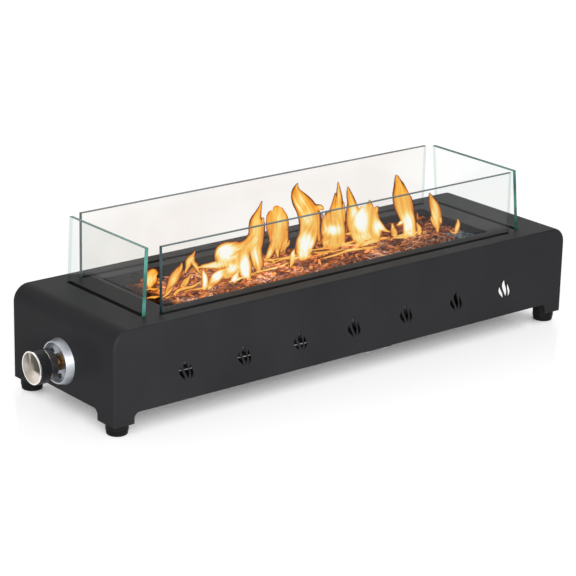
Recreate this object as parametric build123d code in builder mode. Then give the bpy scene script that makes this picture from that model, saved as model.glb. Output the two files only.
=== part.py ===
from build123d import *
from math import cos, radians, sin
import os

# Tabletop gas fire pit: a folded steel casing on rubber feet, a drop-in burner pan filled with fire
# glass, four loose glass wind guards and a push-and-turn gas valve at the left end.
# Millimetres. +X runs along the casing away from the knob, +Y to the rear, +Z up.
# The origin is on the table, in the middle of the whole part's footprint.

# Casing
casing_length = 700.0
casing_width = 206.0
casing_top = 126.0  # top surface, above the table
sheet = 1.5
end_bend = 20.0  # outer radius where the top folds down into the ends
rim_bend = 3.0  # outer radius round the front and rear panels
panel_gap = 26.5  # lower edge of the panels, above the table
leg_gap = 13.5  # underside of the legs, above the table
front_leg_width = 27.5
end_leg_width = 33.0
leg_fillet = 7.0
flange_depth = 14.0  # return flange along the front and rear panels
flange_inset = 12.0  # from a leg to the end of the flange

# Flame-shaped vents in the front and rear panels
vent_count = 7
vent_spacing = 83.0
vent_height = 61.9
vent_row_shift = -1.8  # of the whole row, towards the knob
# Each tongue, from the middle of its vent: tip, points down its right edge, root, points up its left edge
flame_tongues = (
    ((-7.9, 5.3), ((-6.5, 0.4), (-3.3, -5.0)), (-1.9, -12.8), ((-5.7, -8.2), (-10.2, -2.4))),
    ((-0.5, 13.2), ((0.9, 6.0), (4.1, -3.4)), (1.9, -11.8), ((-1.1, -4.2), (-4.9, 4.6))),
    ((5.2, 7.0), ((7.1, 2.2), (9.9, -4.6)), (4.5, -13.0), ((6.1, -6.6), (4.3, 0.8))),
)

# Openings in the top
pan_opening_length = 506.0
pan_opening_width = 124.0
pan_opening_corner = 3.0
slot_width = 7.0
slot_corner = 1.5
side_slot_distance = 290.5  # slot centre line from the casing's middle, left and right
long_slot_distance = 80.0  # the same, front and rear

# Glass wind guards and what holds them
glass_thickness = 5.0
glass_height = 91.0
long_glass_length = 541.0
side_glass_length = 150.6
glass_edge = 0.5  # ground arris
front_lean = 0.8  # degrees; a positive lean brings the top edge inwards
rear_lean = 0.2
left_lean = 2.7
right_lean = 6.4
glass_end_clearance = 0.8
glass_rest_gap = 0.1
channel_sheet = 1.2
channel_depth = 12.0
cushion_thickness = 1.5
cushion_side_clearance = 0.2

# Burner pan and fire glass
pan_lip = 3.0  # how far the pan's walls stand back from the edge of the opening above
pan_sheet = 1.5
pan_depth = 46.0
pan_corner = 6.0
pan_flange_clearance = 1.2
stud_radius = 2.0
stud_length = 9.0
stud_spacing = 90.0  # across the pan
stud_hole_clearance = 0.4
bed_top = 111.5
bed_heap_spacing = 36.0
bed_heap_height = 6.0
bed_reach = 216.0  # to where the glass slopes down at the left end, at 45 degrees
bed_clearance = 0.3

# Burner, inside the fire glass
burner_length = 440.0
burner_radius = 9.5
burner_wall = 1.0
burner_lift = 6.0  # under the tube
burner_cap_thickness = 2.0
flame_port_radius = 0.9
flame_port_pitch = 18.0
flame_port_count = 24
flame_port_angle = 35.0  # each row from the top of the tube
saddle_distance = 150.0  # each saddle from the middle
saddle_thickness = 2.0
saddle_foot = 12.0
riser_radius = 8.0
riser_wall = 1.5
riser_drop = 16.0  # below the pan's floor
running_fit = 0.05
slip_fit = 0.2

# Mixing tube and jet, under the pan
burner_nut_height = 6.0
burner_nut_flats = 24.0
mixer_radius = 10.5
mixer_height = 46.5  # axis of the level leg, above the table
mixer_bend = 14.0
mixer_length = 34.0  # from the burner's centre to the jet
air_window_width = 9.0
air_window_length = 6.0
air_window_distance = 22.0
jet_spigot = 5.0
jet_hex_height = 5.0
jet_hex_flats = 17.0
jet_bore = 1.8
orifice_radius = 0.5
orifice_length = 2.0

# Gas tube and its flare nuts
tube_radius = 3.2
tube_bore = 2.2
tube_run_distance = 76.0  # from the casing's middle towards the front panel
tube_run_height = 56.0  # at the valve end; it falls towards the jet
tube_exit = 10.0  # straight stretch out of the valve's nut
tube_bend = 15.0
flare_radius = 5.5
flare_length = 8.0
flare_nut_flats = 14.0
flare_nut_length = 13.0
flare_nut_overlap = 6.0  # of the nut over the male end

# Valve; depths are from the end panel's inner face
valve_y = 2.0
valve_height = 62.3
barrel_radius = 13.0
barrel_length = 48.0
neck_radius = 7.0
neck_length = 10.0  # outwards from the end panel's inner face
chamber_radius = 7.0
chamber_depth = 3.0
outlet_depth = 25.0
inlet_depth = 36.0
port_radius = 3.0
inlet_boss_radius = 9.0
outlet_boss_radius = 8.0
inlet_boss_length = 7.0
outlet_boss_length = 4.0
plug_depth = 13.0
plug_length = 17.0
plug_slot_clearance = 0.5  # past the stem's tongue when the knob is pushed in
plug_bore = 4.0
plug_bore_length = 10.0
high_turn = 90.0  # degrees from off, where the plug's port meets the outlet
low_turn = 200.0  # where only the end of the plug's groove does
groove_width = 1.6
groove_depth = 0.8
valve_cap_length = 6.0
collar_radius = 6.6
collar_thickness = 2.0
collar_clearance = 0.2
tongue_width = 8.0
tongue_thickness = 3.0
tongue_reach = 2.5  # into the plug's slot, at rest
spring_radius = 5.4
spring_wire = 0.9
spring_turns = 4
valve_nut_height = 5.0
valve_nut_flats = 17.0
inlet_stub_radius = 6.0
inlet_stub_length = 6.0
inlet_hex_height = 6.0
inlet_hex_flats = 19.0
inlet_thread_radius = 7.94
inlet_thread_length = 14.0
inlet_cone_length = 3.0
inlet_relief = 1.0  # from the thread down to the cone's foot

# Bezel and knob, at the left end
bezel_depth = 9.5
bezel_base_radius = 27.4
bezel_rim_radius = 24.7
bezel_wall = 2.0
bezel_floor = 2.0
bezel_screw_radius = 1.5
bezel_screw_distance = 17.4
bezel_screw_angles = (-90, 30, 150)
knob_stand = 15.4  # back of the skirt from the end panel
skirt_radius = 18.2
skirt_wall = 2.0
skirt_length = 8.8
ring_radius = 19.4
ring_thickness = 1.0
grip_radius = 20.2
grip_length = 13.3
grip_flutes = 48
flute_radius = 0.7
cap_radius = 19.4
cap_rim_width = 1.5
cap_rim_height = 1.4
cap_dome = 0.9
stem_radius = 4.0
stem_flat = 1.0
stem_end_gap = 4.0  # from the stem's tip to the front of the grip
knob_push = 3.0

# Feet, brackets and brace
foot_radius = 13.2
foot_toe_radius = 12.2
foot_height = 26.0
foot_end_inset = 14.8  # each foot's centre from the end panel
foot_side_inset = 16.0  # and from the front or rear panel
foot_groove_height = 5.5
foot_groove_width = 1.2
foot_groove_depth = 0.9
foot_recess_radius = 5.5
foot_recess_depth = 12.0
foot_bracket_sheet = 2.0
foot_bracket_reach = 29.0
foot_bracket_rise = 16.0
foot_bracket_corner = 8.0
foot_screw_radius = 2.5
brace_x = 40.0
brace_width = 45.0
brace_sheet = 2.0
brace_end_clearance = 1.0
brace_corner = 3.0
brace_screw_radius = 2.0
brace_screw_spacing = 28.0

# Fasteners
screw_clearance = 0.3
thread_clearance = 0.05

# Worked out from the sizes above
plug_slot_depth = tongue_reach + knob_push + plug_slot_clearance
bezel_screw_places = [
    (bezel_screw_distance * cos(radians(angle)), bezel_screw_distance * sin(radians(angle)))
    for angle in bezel_screw_angles
]
grip_start = knob_stand + skirt_length + ring_thickness
knob_reach = grip_start + grip_length + cap_rim_height + cap_dome
casing_x = knob_reach / 2  # the knob stands out at the left, so the casing lies right of the origin
half_length = casing_length / 2
half_width = casing_width / 2
top_underside = casing_top - sheet
seam = half_width - rim_bend
pan_length = pan_opening_length + 2 * pan_lip
pan_width = pan_opening_width + 2 * pan_lip
pan_floor = top_underside - pan_depth
pan_underside = pan_floor - pan_sheet
burner_height = pan_floor + burner_lift + burner_radius
riser_end = pan_underside - riser_drop
mixer_bore = riser_radius + slip_fit
valve_seat = half_length - sheet  # inner face of the end panel, from the casing's middle
outlet_x = outlet_depth - valve_seat
inlet_x = inlet_depth - valve_seat

front, rear, left, right = (0, -1), (0, 1), (-1, 0), (1, 0)
slot_distance = {
    front: long_slot_distance,
    rear: long_slot_distance,
    left: side_slot_distance,
    right: side_slot_distance,
}
glass_length = {
    front: long_glass_length,
    rear: long_glass_length,
    left: side_glass_length,
    right: side_glass_length,
}
lean = {front: front_lean, rear: rear_lean, left: left_lean, right: right_lean}
knob_axis = Axis((casing_x, valve_y, valve_height), (-1, 0, 0))


def level(z):
    """A horizontal plane at height z, centred on the casing."""
    return Plane((casing_x, 0, z))


def wall(side, distance, z=0.0, tilt=0.0):
    """An upright plane facing a side, at a distance from the casing's middle; a tilt faces it upwards."""
    out_x, out_y = side
    return Plane(
        origin=(casing_x + out_x * distance, out_y * distance, z),
        x_dir=(-out_y, out_x, 0),
        z_dir=(out_x * cos(radians(tilt)), out_y * cos(radians(tilt)), sin(radians(tilt))),
    )


def valve_plane(distance):
    """A plane facing left, centred on the valve's axis, at a distance from the casing's middle."""
    return Plane(origin=(casing_x - distance, valve_y, valve_height), x_dir=(0, -1, 0), z_dir=(-1, 0, 0))


def valve_section(distance):
    """A plane that cuts the valve along its axis: local x is outwards from the axis, local -y is left."""
    return Plane(origin=(casing_x - distance, valve_y, valve_height), x_dir=(0, 0, 1), z_dir=(0, 1, 0))


def hex_nut(flats, height, bore):
    """A hexagon nut that stands on the ground plane."""
    with BuildPart() as nut:
        with BuildSketch():
            RegularPolygon(flats / 2, 6, major_radius=False)
            Circle(bore, mode=Mode.SUBTRACT)
        extrude(amount=height)
    return nut.part


def screw_nut(radius):
    """The hexagon nut of a screw of this radius."""
    return hex_nut(3.5 * radius, 1.6 * radius, radius + thread_clearance)


def pan_head_screw(radius, length):
    """A pan-head screw, head upwards, that seats on the ground plane."""
    head_radius = 1.85 * radius
    head_height = 1.2 * radius
    socket_radius = 0.7 * radius
    with BuildPart() as screw:
        with BuildSketch():
            Circle(head_radius)
        extrude(amount=head_height)
        fillet(screw.edges().group_by(Axis.Z)[-1], 0.4 * radius)
        with BuildSketch(Plane.XY.offset(head_height)):
            RegularPolygon(socket_radius, 6)
        extrude(amount=-head_height / 2, mode=Mode.SUBTRACT)
        with BuildSketch():
            Circle(radius)
        extrude(amount=-length)
    return screw.part


def flare_nut():
    """A flare nut whose mouth is on the ground plane; the tube leaves upwards."""
    with BuildPart() as nut:
        with BuildSketch():
            RegularPolygon(flare_nut_flats / 2, 6, major_radius=False)
        extrude(amount=flare_nut_length)
        with BuildSketch():
            Circle(flare_radius + thread_clearance)
        extrude(amount=flare_nut_overlap + slip_fit, mode=Mode.SUBTRACT)
        with BuildSketch():
            Circle(tube_radius + slip_fit)
        extrude(amount=flare_nut_length, mode=Mode.SUBTRACT)
    return nut.part


# ---- Casing: drawn as one hollow shell, then parted at the weld seams ----


def casing_form(inset):
    """The casing's outer form, smaller by inset on every closed side."""
    with BuildPart() as form:
        with BuildSketch(wall(front, half_width - inset)) as profile:
            with Locations((0, leg_gap)):
                Rectangle(
                    casing_length - 2 * inset,
                    casing_top - inset - leg_gap,
                    align=(Align.CENTER, Align.MIN),
                )
            fillet(profile.vertices().group_by(Axis.Y)[-1], end_bend - inset)
        extrude(amount=-(casing_width - 2 * inset))
        ends = form.faces().sort_by(Axis.Y)
        rims = (ends[0].edges() + ends[-1].edges()).filter_by(lambda edge: edge.center().Z > leg_gap + inset)
        fillet(rims, rim_bend - inset)
    return form.part


with BuildSketch() as flame:
    for tip, right_edge, root, left_edge in flame_tongues:
        with BuildLine():
            Spline(tip, *right_edge, root)
            Spline(root, *left_edge, tip)
        make_face()

with BuildPart() as casing:
    add(casing_form(0))
    add(casing_form(sheet), mode=Mode.SUBTRACT)
    for side, span, leg in (
        (front, casing_length, front_leg_width),
        (left, casing_width, end_leg_width),
    ):
        with BuildSketch(wall(side, 0)) as gap:
            Rectangle(span - 2 * leg, panel_gap, align=(Align.CENTER, Align.MIN))
            fillet(gap.vertices().group_by(Axis.Y)[-1], leg_fillet)
        extrude(amount=casing_length, both=True, mode=Mode.SUBTRACT)
    with BuildSketch(wall(front, 0, vent_height)):
        with Locations((vent_row_shift, 0)):
            with GridLocations(vent_spacing, 0, vent_count, 1):
                add(flame.sketch)
    extrude(amount=casing_width, both=True, mode=Mode.SUBTRACT)
    with BuildSketch(level(casing_top)):
        RectangleRounded(pan_opening_length, pan_opening_width, pan_opening_corner)
        for sign in (-1, 1):
            with Locations((0, sign * long_slot_distance)):
                RectangleRounded(long_glass_length + 2 * glass_end_clearance, slot_width, slot_corner)
            with Locations((sign * side_slot_distance, 0)):
                RectangleRounded(slot_width, side_glass_length + 2 * glass_end_clearance, slot_corner)
    extrude(amount=-2 * sheet, mode=Mode.SUBTRACT)
    with BuildSketch(valve_plane(half_length)):
        Circle(neck_radius + screw_clearance)
        with Locations(*bezel_screw_places):
            Circle(bezel_screw_radius + screw_clearance)
    extrude(amount=-2 * sheet, mode=Mode.SUBTRACT)

# Top and both ends, one folded sheet
with BuildPart() as top_and_ends:
    add(casing.part)
    split(bisect_by=wall(front, seam), keep=Keep.BOTTOM)
    split(bisect_by=wall(rear, seam), keep=Keep.BOTTOM)

brace_holes = [
    (brace_x + side * brace_screw_spacing / 2, depth * (half_width - sheet - flange_depth / 2))
    for side in (-1, 1)
    for depth in (-1, 1)
]


def long_panel(side):
    """The front or rear panel, with its rounded rim and a return flange along the lower edge."""
    with BuildPart() as panel:
        add(casing.part)
        split(bisect_by=wall(side, seam), keep=Keep.TOP)
        with BuildSketch(wall(side, half_width - sheet, panel_gap)):
            Rectangle(
                casing_length - 2 * (front_leg_width + flange_inset),
                sheet,
                align=(Align.CENTER, Align.MIN),
            )
        extrude(amount=-flange_depth)
        with BuildSketch(level(panel_gap)):
            with Locations(*brace_holes):
                Circle(brace_screw_radius + screw_clearance)
        extrude(amount=sheet, mode=Mode.SUBTRACT)
    return panel


front_panel = long_panel(front)
rear_panel = long_panel(rear)

# ---- Feet, their corner brackets and the brace across the underside ----

corners = {
    "front_left": (-1, -1),
    "front_right": (1, -1),
    "rear_left": (-1, 1),
    "rear_right": (1, 1),
}
foot_places = {
    corner: (casing_x + x * (half_length - foot_end_inset), y * (half_width - foot_side_inset))
    for corner, (x, y) in corners.items()
}
bracket_top = foot_height + foot_bracket_sheet
nearest = {-1: Align.MIN, 1: Align.MAX}

with BuildPart() as foot_form:
    with BuildSketch(Plane.XZ):
        groove_bottom = foot_groove_height - foot_groove_width / 2
        groove_top = foot_groove_height + foot_groove_width / 2
        with BuildLine():
            Polyline(
                (0, 0),
                (foot_toe_radius - 1, 0),
                (foot_toe_radius, 1),
                (foot_radius - foot_groove_depth / 2, groove_bottom),
                (foot_radius - foot_groove_depth, groove_bottom),
                (foot_radius - foot_groove_depth, groove_top),
                (foot_radius, groove_top),
                (foot_radius, foot_height),
                (0, foot_height),
                close=True,
            )
        make_face()
    revolve(axis=Axis.Z)
    with BuildSketch():
        Circle(foot_recess_radius)
    extrude(amount=foot_recess_depth, mode=Mode.SUBTRACT)
    with BuildSketch():
        Circle(foot_screw_radius + screw_clearance)
    extrude(amount=foot_height, mode=Mode.SUBTRACT)


def rubber_foot(corner):
    """One foot, standing under its bracket."""
    with BuildPart() as foot:
        with Locations(foot_places[corner]):
            add(foot_form.part)
    return foot


def foot_bracket(corner):
    """An angle bracket welded to the end panel, over a foot."""
    x, y = corners[corner]
    with BuildPart() as bracket:
        with BuildSketch(level(foot_height)) as plate:
            with Locations((x * valve_seat, y * seam)):
                Rectangle(foot_bracket_reach, foot_bracket_reach, align=(nearest[x], nearest[y]))
            inner = plate.vertices().sort_by(lambda v: v.X * x + v.Y * y)[0]
            chamfer(inner, foot_bracket_corner)
        extrude(amount=foot_bracket_sheet)
        with BuildSketch(level(bracket_top)):
            with Locations((x * valve_seat, y * seam)):
                Rectangle(foot_bracket_sheet, foot_bracket_reach, align=(nearest[x], nearest[y]))
        extrude(amount=foot_bracket_rise)
        with BuildSketch(level(foot_height)):
            with Locations((x * (half_length - foot_end_inset), y * (half_width - foot_side_inset))):
                Circle(foot_screw_radius + screw_clearance)
        extrude(amount=foot_bracket_sheet, mode=Mode.SUBTRACT)
    return bracket


foot_screw_length = bracket_top - foot_recess_depth + 2.2 * foot_screw_radius
foot_screw = pan_head_screw(foot_screw_radius, foot_screw_length)
with BuildPart() as foot_screws:
    for x, y in foot_places.values():
        with Locations(Plane((x, y, foot_recess_depth), z_dir=(0, 0, -1))):
            add(foot_screw)
with BuildPart() as foot_nuts:
    for x, y in foot_places.values():
        with Locations((x, y, bracket_top)):
            add(screw_nut(foot_screw_radius))

with BuildPart() as cross_brace:
    with BuildSketch(level(panel_gap)) as strap:
        with Locations((brace_x, 0)):
            RectangleRounded(brace_width, casing_width - 2 * (sheet + brace_end_clearance), brace_corner)
        with Locations(*brace_holes):
            Circle(brace_screw_radius + screw_clearance, mode=Mode.SUBTRACT)
    extrude(amount=-brace_sheet)

brace_screw = pan_head_screw(brace_screw_radius, brace_sheet + sheet + 2.2 * brace_screw_radius)
with BuildPart() as brace_screws:
    for x, y in brace_holes:
        with Locations(Plane((casing_x + x, y, panel_gap - brace_sheet), z_dir=(0, 0, -1))):
            add(brace_screw)
with BuildPart() as brace_nuts:
    for x, y in brace_holes:
        with Locations((casing_x + x, y, panel_gap + sheet)):
            add(screw_nut(brace_screw_radius))

# ---- Glass wind guards in their channels ----


def glass_channel(side):
    """A U-channel welded under a slot in the top."""
    length = glass_length[side] + 2 * glass_end_clearance
    with BuildPart() as channel:
        with BuildSketch(wall(side, slot_distance[side], top_underside)):
            Rectangle(length, channel_depth + channel_sheet, align=(Align.CENTER, Align.MAX))
        extrude(amount=slot_width / 2 + channel_sheet, both=True)
        with BuildSketch(wall(side, slot_distance[side], top_underside)):
            Rectangle(length, channel_depth, align=(Align.CENTER, Align.MAX))
        extrude(amount=slot_width / 2, both=True, mode=Mode.SUBTRACT)
    return channel


def glass_panel(side):
    """A loose pane that stands in its channel and leans against the slot's edge."""
    tilt = lean[side]
    cushion_top = top_underside - channel_depth + cushion_thickness
    pivot = (casing_top + cushion_top) / 2
    corner_drop = glass_thickness / 2 * abs(sin(radians(tilt)))
    bottom = (pivot - cushion_top - glass_rest_gap - corner_drop) / cos(radians(tilt))
    with BuildPart() as pane:
        with BuildSketch(wall(side, slot_distance[side], pivot, tilt)):
            with Locations((0, -bottom)):
                Rectangle(glass_length[side], glass_height, align=(Align.CENTER, Align.MIN))
        extrude(amount=glass_thickness / 2, both=True)
        chamfer(pane.edges(), glass_edge)
    return pane


with BuildPart() as glass_cushions:
    for side, distance in slot_distance.items():
        with BuildSketch(wall(side, distance, top_underside - channel_depth)):
            Rectangle(glass_length[side], cushion_thickness, align=(Align.CENTER, Align.MIN))
        extrude(amount=slot_width / 2 - cushion_side_clearance, both=True)

# ---- Burner pan ----

flange_half_length = side_slot_distance - slot_width / 2 - channel_sheet - pan_flange_clearance
flange_half_width = long_slot_distance - slot_width / 2 - channel_sheet - pan_flange_clearance
stud_x = (flange_half_length + pan_length / 2 + pan_sheet) / 2
stud_places = [(x * stud_x, y * stud_spacing / 2) for x in (-1, 1) for y in (-1, 1)]

with BuildPart() as burner_pan:
    with BuildSketch(level(top_underside)):
        Rectangle(2 * flange_half_length, 2 * flange_half_width)
    extrude(amount=-pan_sheet)
    with BuildSketch(level(top_underside)):
        RectangleRounded(pan_length + 2 * pan_sheet, pan_width + 2 * pan_sheet, pan_corner + pan_sheet)
    extrude(amount=-(pan_depth + pan_sheet))
    with BuildSketch(level(top_underside)):
        RectangleRounded(pan_length, pan_width, pan_corner)
    extrude(amount=-pan_depth, mode=Mode.SUBTRACT)
    with BuildSketch(level(pan_floor)):
        Circle(riser_radius + screw_clearance)
    extrude(amount=-pan_sheet, mode=Mode.SUBTRACT)
    with BuildSketch(level(top_underside)):
        with Locations(*stud_places):
            Circle(stud_radius + stud_hole_clearance)
    extrude(amount=-pan_sheet, mode=Mode.SUBTRACT)

with BuildPart() as pan_studs:
    with BuildSketch(level(top_underside)):
        with Locations(*stud_places):
            Circle(stud_radius)
    extrude(amount=-stud_length)

with BuildPart() as pan_nuts:
    for x, y in stud_places:
        with Locations((casing_x + x, y, top_underside - pan_sheet - 1.6 * stud_radius)):
            add(screw_nut(stud_radius))

# ---- Burner: a ported tube with a riser through the pan's floor ----


def flame_port_plane(angle):
    """A plane along the burner's axis, tipped about it by an angle from level."""
    return Plane(
        origin=(casing_x, 0, burner_height),
        x_dir=(1, 0, 0),
        z_dir=(0, sin(radians(angle)), cos(radians(angle))),
    )


with BuildPart() as burner_tube:
    with BuildSketch(wall(right, 0, burner_height)):
        Circle(burner_radius)
    extrude(amount=burner_length / 2, both=True)
    with BuildSketch(level(burner_height)):
        Circle(riser_radius)
    extrude(amount=riser_end - burner_height)
    with BuildSketch(wall(right, 0, burner_height)):
        Circle(burner_radius - burner_wall)
    extrude(amount=burner_length / 2, both=True, mode=Mode.SUBTRACT)
    with BuildSketch(level(burner_height)):
        Circle(riser_radius - riser_wall)
    extrude(amount=riser_end - burner_height, mode=Mode.SUBTRACT)
    for angle in (-flame_port_angle, flame_port_angle):
        with BuildSketch(flame_port_plane(angle)):
            with GridLocations(flame_port_pitch, 0, flame_port_count, 1):
                Circle(flame_port_radius)
        extrude(amount=burner_radius + burner_wall, mode=Mode.SUBTRACT)

with BuildPart() as burner_end_caps:
    for side in (left, right):
        with BuildSketch(wall(side, burner_length / 2, burner_height)):
            Circle(burner_radius)
        extrude(amount=burner_cap_thickness)

with BuildPart() as burner_saddles:
    for x in (-saddle_distance, saddle_distance):
        with BuildSketch(wall(right, x, pan_floor)):
            Rectangle(2 * burner_radius, burner_lift + burner_radius, align=(Align.CENTER, Align.MIN))
            with Locations((0, burner_lift + burner_radius)):
                Circle(burner_radius + running_fit, mode=Mode.SUBTRACT)
        extrude(amount=saddle_thickness)
        with BuildSketch(level(pan_floor)):
            with Locations((x, 0)):
                Rectangle(saddle_foot, 2 * burner_radius, align=(Align.MIN, Align.CENTER))
        extrude(amount=saddle_thickness)

with BuildPart() as burner_nut:
    with Locations((casing_x, 0, pan_underside - burner_nut_height)):
        add(hex_nut(burner_nut_flats, burner_nut_height, riser_radius + thread_clearance))

# The fire glass lies in low heaps round and over the burner, up to the pan's walls
bed_hollow = bed_top - bed_heap_height
heap_foot = 1.01 * bed_heap_spacing / 2 / cos(radians(30))  # where three heaps meet
heap_sphere = (heap_foot**2 + bed_heap_height**2) / (2 * bed_heap_height)
heap_columns = round(pan_length / bed_heap_spacing / cos(radians(30))) + 1
heap_rows = round(pan_width / bed_heap_spacing) + 1

with BuildPart() as heap:
    with Locations((0, 0, bed_heap_height - heap_sphere)):
        Sphere(heap_sphere)
    split(bisect_by=Plane.XY, keep=Keep.TOP)

with BuildPart() as fire_glass_bed:
    with Locations(level(bed_hollow)):
        with HexLocations(bed_heap_spacing / 2, heap_columns, heap_rows):
            add(heap.part)
    with BuildSketch(level(bed_hollow)) as bed_outline:
        RectangleRounded(
            pan_length - 2 * bed_clearance,
            pan_width - 2 * bed_clearance,
            pan_corner - bed_clearance,
        )
    extrude(amount=bed_heap_height, mode=Mode.INTERSECT)
    extrude(bed_outline.sketch, amount=pan_floor - bed_hollow)
    with BuildSketch(wall(front, 0)):
        with BuildLine():
            Polyline(
                (-bed_reach, bed_top),
                (-pan_length / 2, bed_top),
                (-pan_length / 2, bed_top - (pan_length / 2 - bed_reach)),
                close=True,
            )
        make_face()
    extrude(amount=pan_width, both=True, mode=Mode.SUBTRACT)
    with BuildSketch(wall(right, 0, pan_floor)):
        Rectangle(
            2 * (burner_radius + bed_clearance),
            burner_height - pan_floor,
            align=(Align.CENTER, Align.MIN),
        )
        with Locations((0, burner_height - pan_floor)):
            Circle(burner_radius + bed_clearance)
    extrude(
        amount=burner_length / 2 + burner_cap_thickness + bed_clearance,
        both=True,
        mode=Mode.SUBTRACT,
    )

# ---- Mixing tube, jet and gas tube, under the pan ----

mixer_top = pan_underside - burner_nut_height

with BuildPart() as mixing_tube:
    with BuildLine() as bend:
        FilletPolyline(
            (casing_x, 0, mixer_top),
            (casing_x, 0, mixer_height),
            (casing_x, -mixer_length, mixer_height),
            radius=mixer_bend,
        )
    with BuildSketch(level(mixer_top)):
        Circle(mixer_radius)
        Circle(mixer_bore, mode=Mode.SUBTRACT)
    sweep(path=bend.wire())
    with BuildSketch(wall(right, 0, mixer_height)):
        with Locations((-air_window_distance, 0)):
            SlotOverall(air_window_width, air_window_length)
    extrude(amount=mixer_radius, both=True, mode=Mode.SUBTRACT)

jet_seat = mixer_length
jet_nose = jet_seat + jet_hex_height
jet_tip = jet_nose + flare_length

with BuildPart() as jet:
    with BuildSketch(wall(front, jet_seat - jet_spigot, mixer_height)):
        Circle(mixer_bore - running_fit)
    extrude(amount=jet_spigot)
    with BuildSketch(wall(front, jet_seat, mixer_height)):
        RegularPolygon(jet_hex_flats / 2, 6, major_radius=False)
    extrude(amount=jet_hex_height)
    with BuildSketch(wall(front, jet_nose, mixer_height)):
        Circle(flare_radius)
    extrude(amount=flare_length)
    with BuildSketch(wall(front, jet_seat - jet_spigot + orifice_length, mixer_height)):
        Circle(jet_bore)
    extrude(amount=jet_tip, mode=Mode.SUBTRACT)
    with BuildSketch(wall(front, jet_seat - jet_spigot, mixer_height)):
        Circle(orifice_radius)
    extrude(amount=orifice_length, mode=Mode.SUBTRACT)

outlet_plane = Plane(origin=(casing_x + outlet_x, valve_y, valve_height), x_dir=(1, 0, 0), z_dir=(0, -1, 0))
outlet_tip = barrel_radius + outlet_boss_length + flare_length
tube_start = outlet_plane.offset(outlet_tip + slip_fit)
tube_straight = flare_nut_length - flare_nut_overlap + tube_exit

with BuildPart() as gas_tube:
    with BuildLine() as route:
        FilletPolyline(
            tube_start.origin,
            tube_start.offset(tube_straight).origin,
            (casing_x + outlet_x, -tube_run_distance, tube_run_height),
            (casing_x, -tube_run_distance, mixer_height),
            (casing_x, -(jet_tip + slip_fit), mixer_height),
            radius=tube_bend,
        )
    with BuildSketch(tube_start):
        Circle(tube_radius)
        Circle(tube_bore, mode=Mode.SUBTRACT)
    sweep(path=route.wire())

with BuildPart() as valve_flare_nut:
    with Locations(outlet_plane.offset(outlet_tip - flare_nut_overlap)):
        add(flare_nut())
with BuildPart() as jet_flare_nut:
    with Locations(wall(front, jet_tip - flare_nut_overlap, mixer_height)):
        add(flare_nut())

# ---- Gas valve ----

inlet_plane = Plane(origin=(casing_x + inlet_x, valve_y, valve_height), x_dir=(1, 0, 0), z_dir=(0, 1, 0))
inlet_face = barrel_radius + inlet_boss_length
outlet_face = barrel_radius + outlet_boss_length

with BuildPart() as valve_body:
    with BuildSketch(valve_plane(valve_seat)):
        Circle(barrel_radius)
    extrude(amount=-barrel_length)
    with BuildSketch(valve_plane(valve_seat)):
        Circle(neck_radius)
    extrude(amount=neck_length)
    with BuildSketch(outlet_plane):
        Circle(outlet_boss_radius)
    extrude(amount=outlet_face)
    with BuildSketch(outlet_plane):
        Circle(flare_radius)
    extrude(amount=outlet_tip)
    with BuildSketch(inlet_plane):
        Circle(inlet_boss_radius)
    extrude(amount=inlet_face)
    with BuildSketch(valve_plane(valve_seat - chamber_depth)):
        Circle(chamber_radius)
    extrude(amount=-barrel_length, mode=Mode.SUBTRACT)
    with BuildSketch(valve_plane(valve_seat - chamber_depth)):
        Circle(stem_radius + running_fit)
    extrude(amount=chamber_depth + neck_length, mode=Mode.SUBTRACT)
    with BuildSketch(outlet_plane):
        Circle(port_radius)
    extrude(amount=outlet_tip, mode=Mode.SUBTRACT)
    with BuildSketch(inlet_plane):
        Circle(port_radius)
    extrude(amount=inlet_face, mode=Mode.SUBTRACT)
    with BuildSketch(inlet_plane.offset(inlet_face)):
        Circle(inlet_stub_radius + thread_clearance)
    extrude(amount=-(inlet_stub_length + slip_fit), mode=Mode.SUBTRACT)

# Gas comes into the chamber behind the plug, up the plug's bore and out through its side: a full port
# for high, then a shallow groove that runs on from the port to low.
with BuildLine() as groove_line:
    CenterArc((0, 0), chamber_radius - running_fit, -low_turn, low_turn - high_turn)

with BuildPart() as valve_plug:
    with BuildSketch(valve_plane(valve_seat - plug_depth)):
        Circle(chamber_radius - running_fit)
    extrude(amount=-plug_length)
    with BuildSketch(valve_plane(valve_seat - plug_depth)):
        Rectangle(2 * chamber_radius, tongue_thickness + slip_fit)
    extrude(amount=-plug_slot_depth, mode=Mode.SUBTRACT)
    with BuildSketch(valve_plane(valve_seat - plug_depth - plug_length)):
        Circle(plug_bore)
    extrude(amount=plug_bore_length, mode=Mode.SUBTRACT)
    with BuildSketch(Plane((casing_x + outlet_x, valve_y, valve_height))):
        Circle(port_radius - groove_depth)
    extrude(amount=-chamber_radius, mode=Mode.SUBTRACT)
    with BuildSketch(valve_plane(valve_seat - outlet_depth + groove_width / 2)):
        SlotArc(groove_line.edge(), 2 * groove_depth)
    extrude(amount=-groove_width, mode=Mode.SUBTRACT)

with BuildPart() as valve_cap:
    with BuildSketch(valve_plane(valve_seat - barrel_length)):
        Circle(chamber_radius - thread_clearance)
    extrude(amount=valve_cap_length)
    with BuildSketch(valve_plane(valve_seat - barrel_length)):
        RegularPolygon(chamber_radius / 2, 6)
    extrude(amount=valve_cap_length / 2, mode=Mode.SUBTRACT)

collar_depth = chamber_depth + collar_clearance
collar_end = collar_depth + collar_thickness
stem_tip = grip_start + grip_length - stem_end_gap  # outside the end panel
stem_length = collar_depth + sheet + stem_tip

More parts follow.
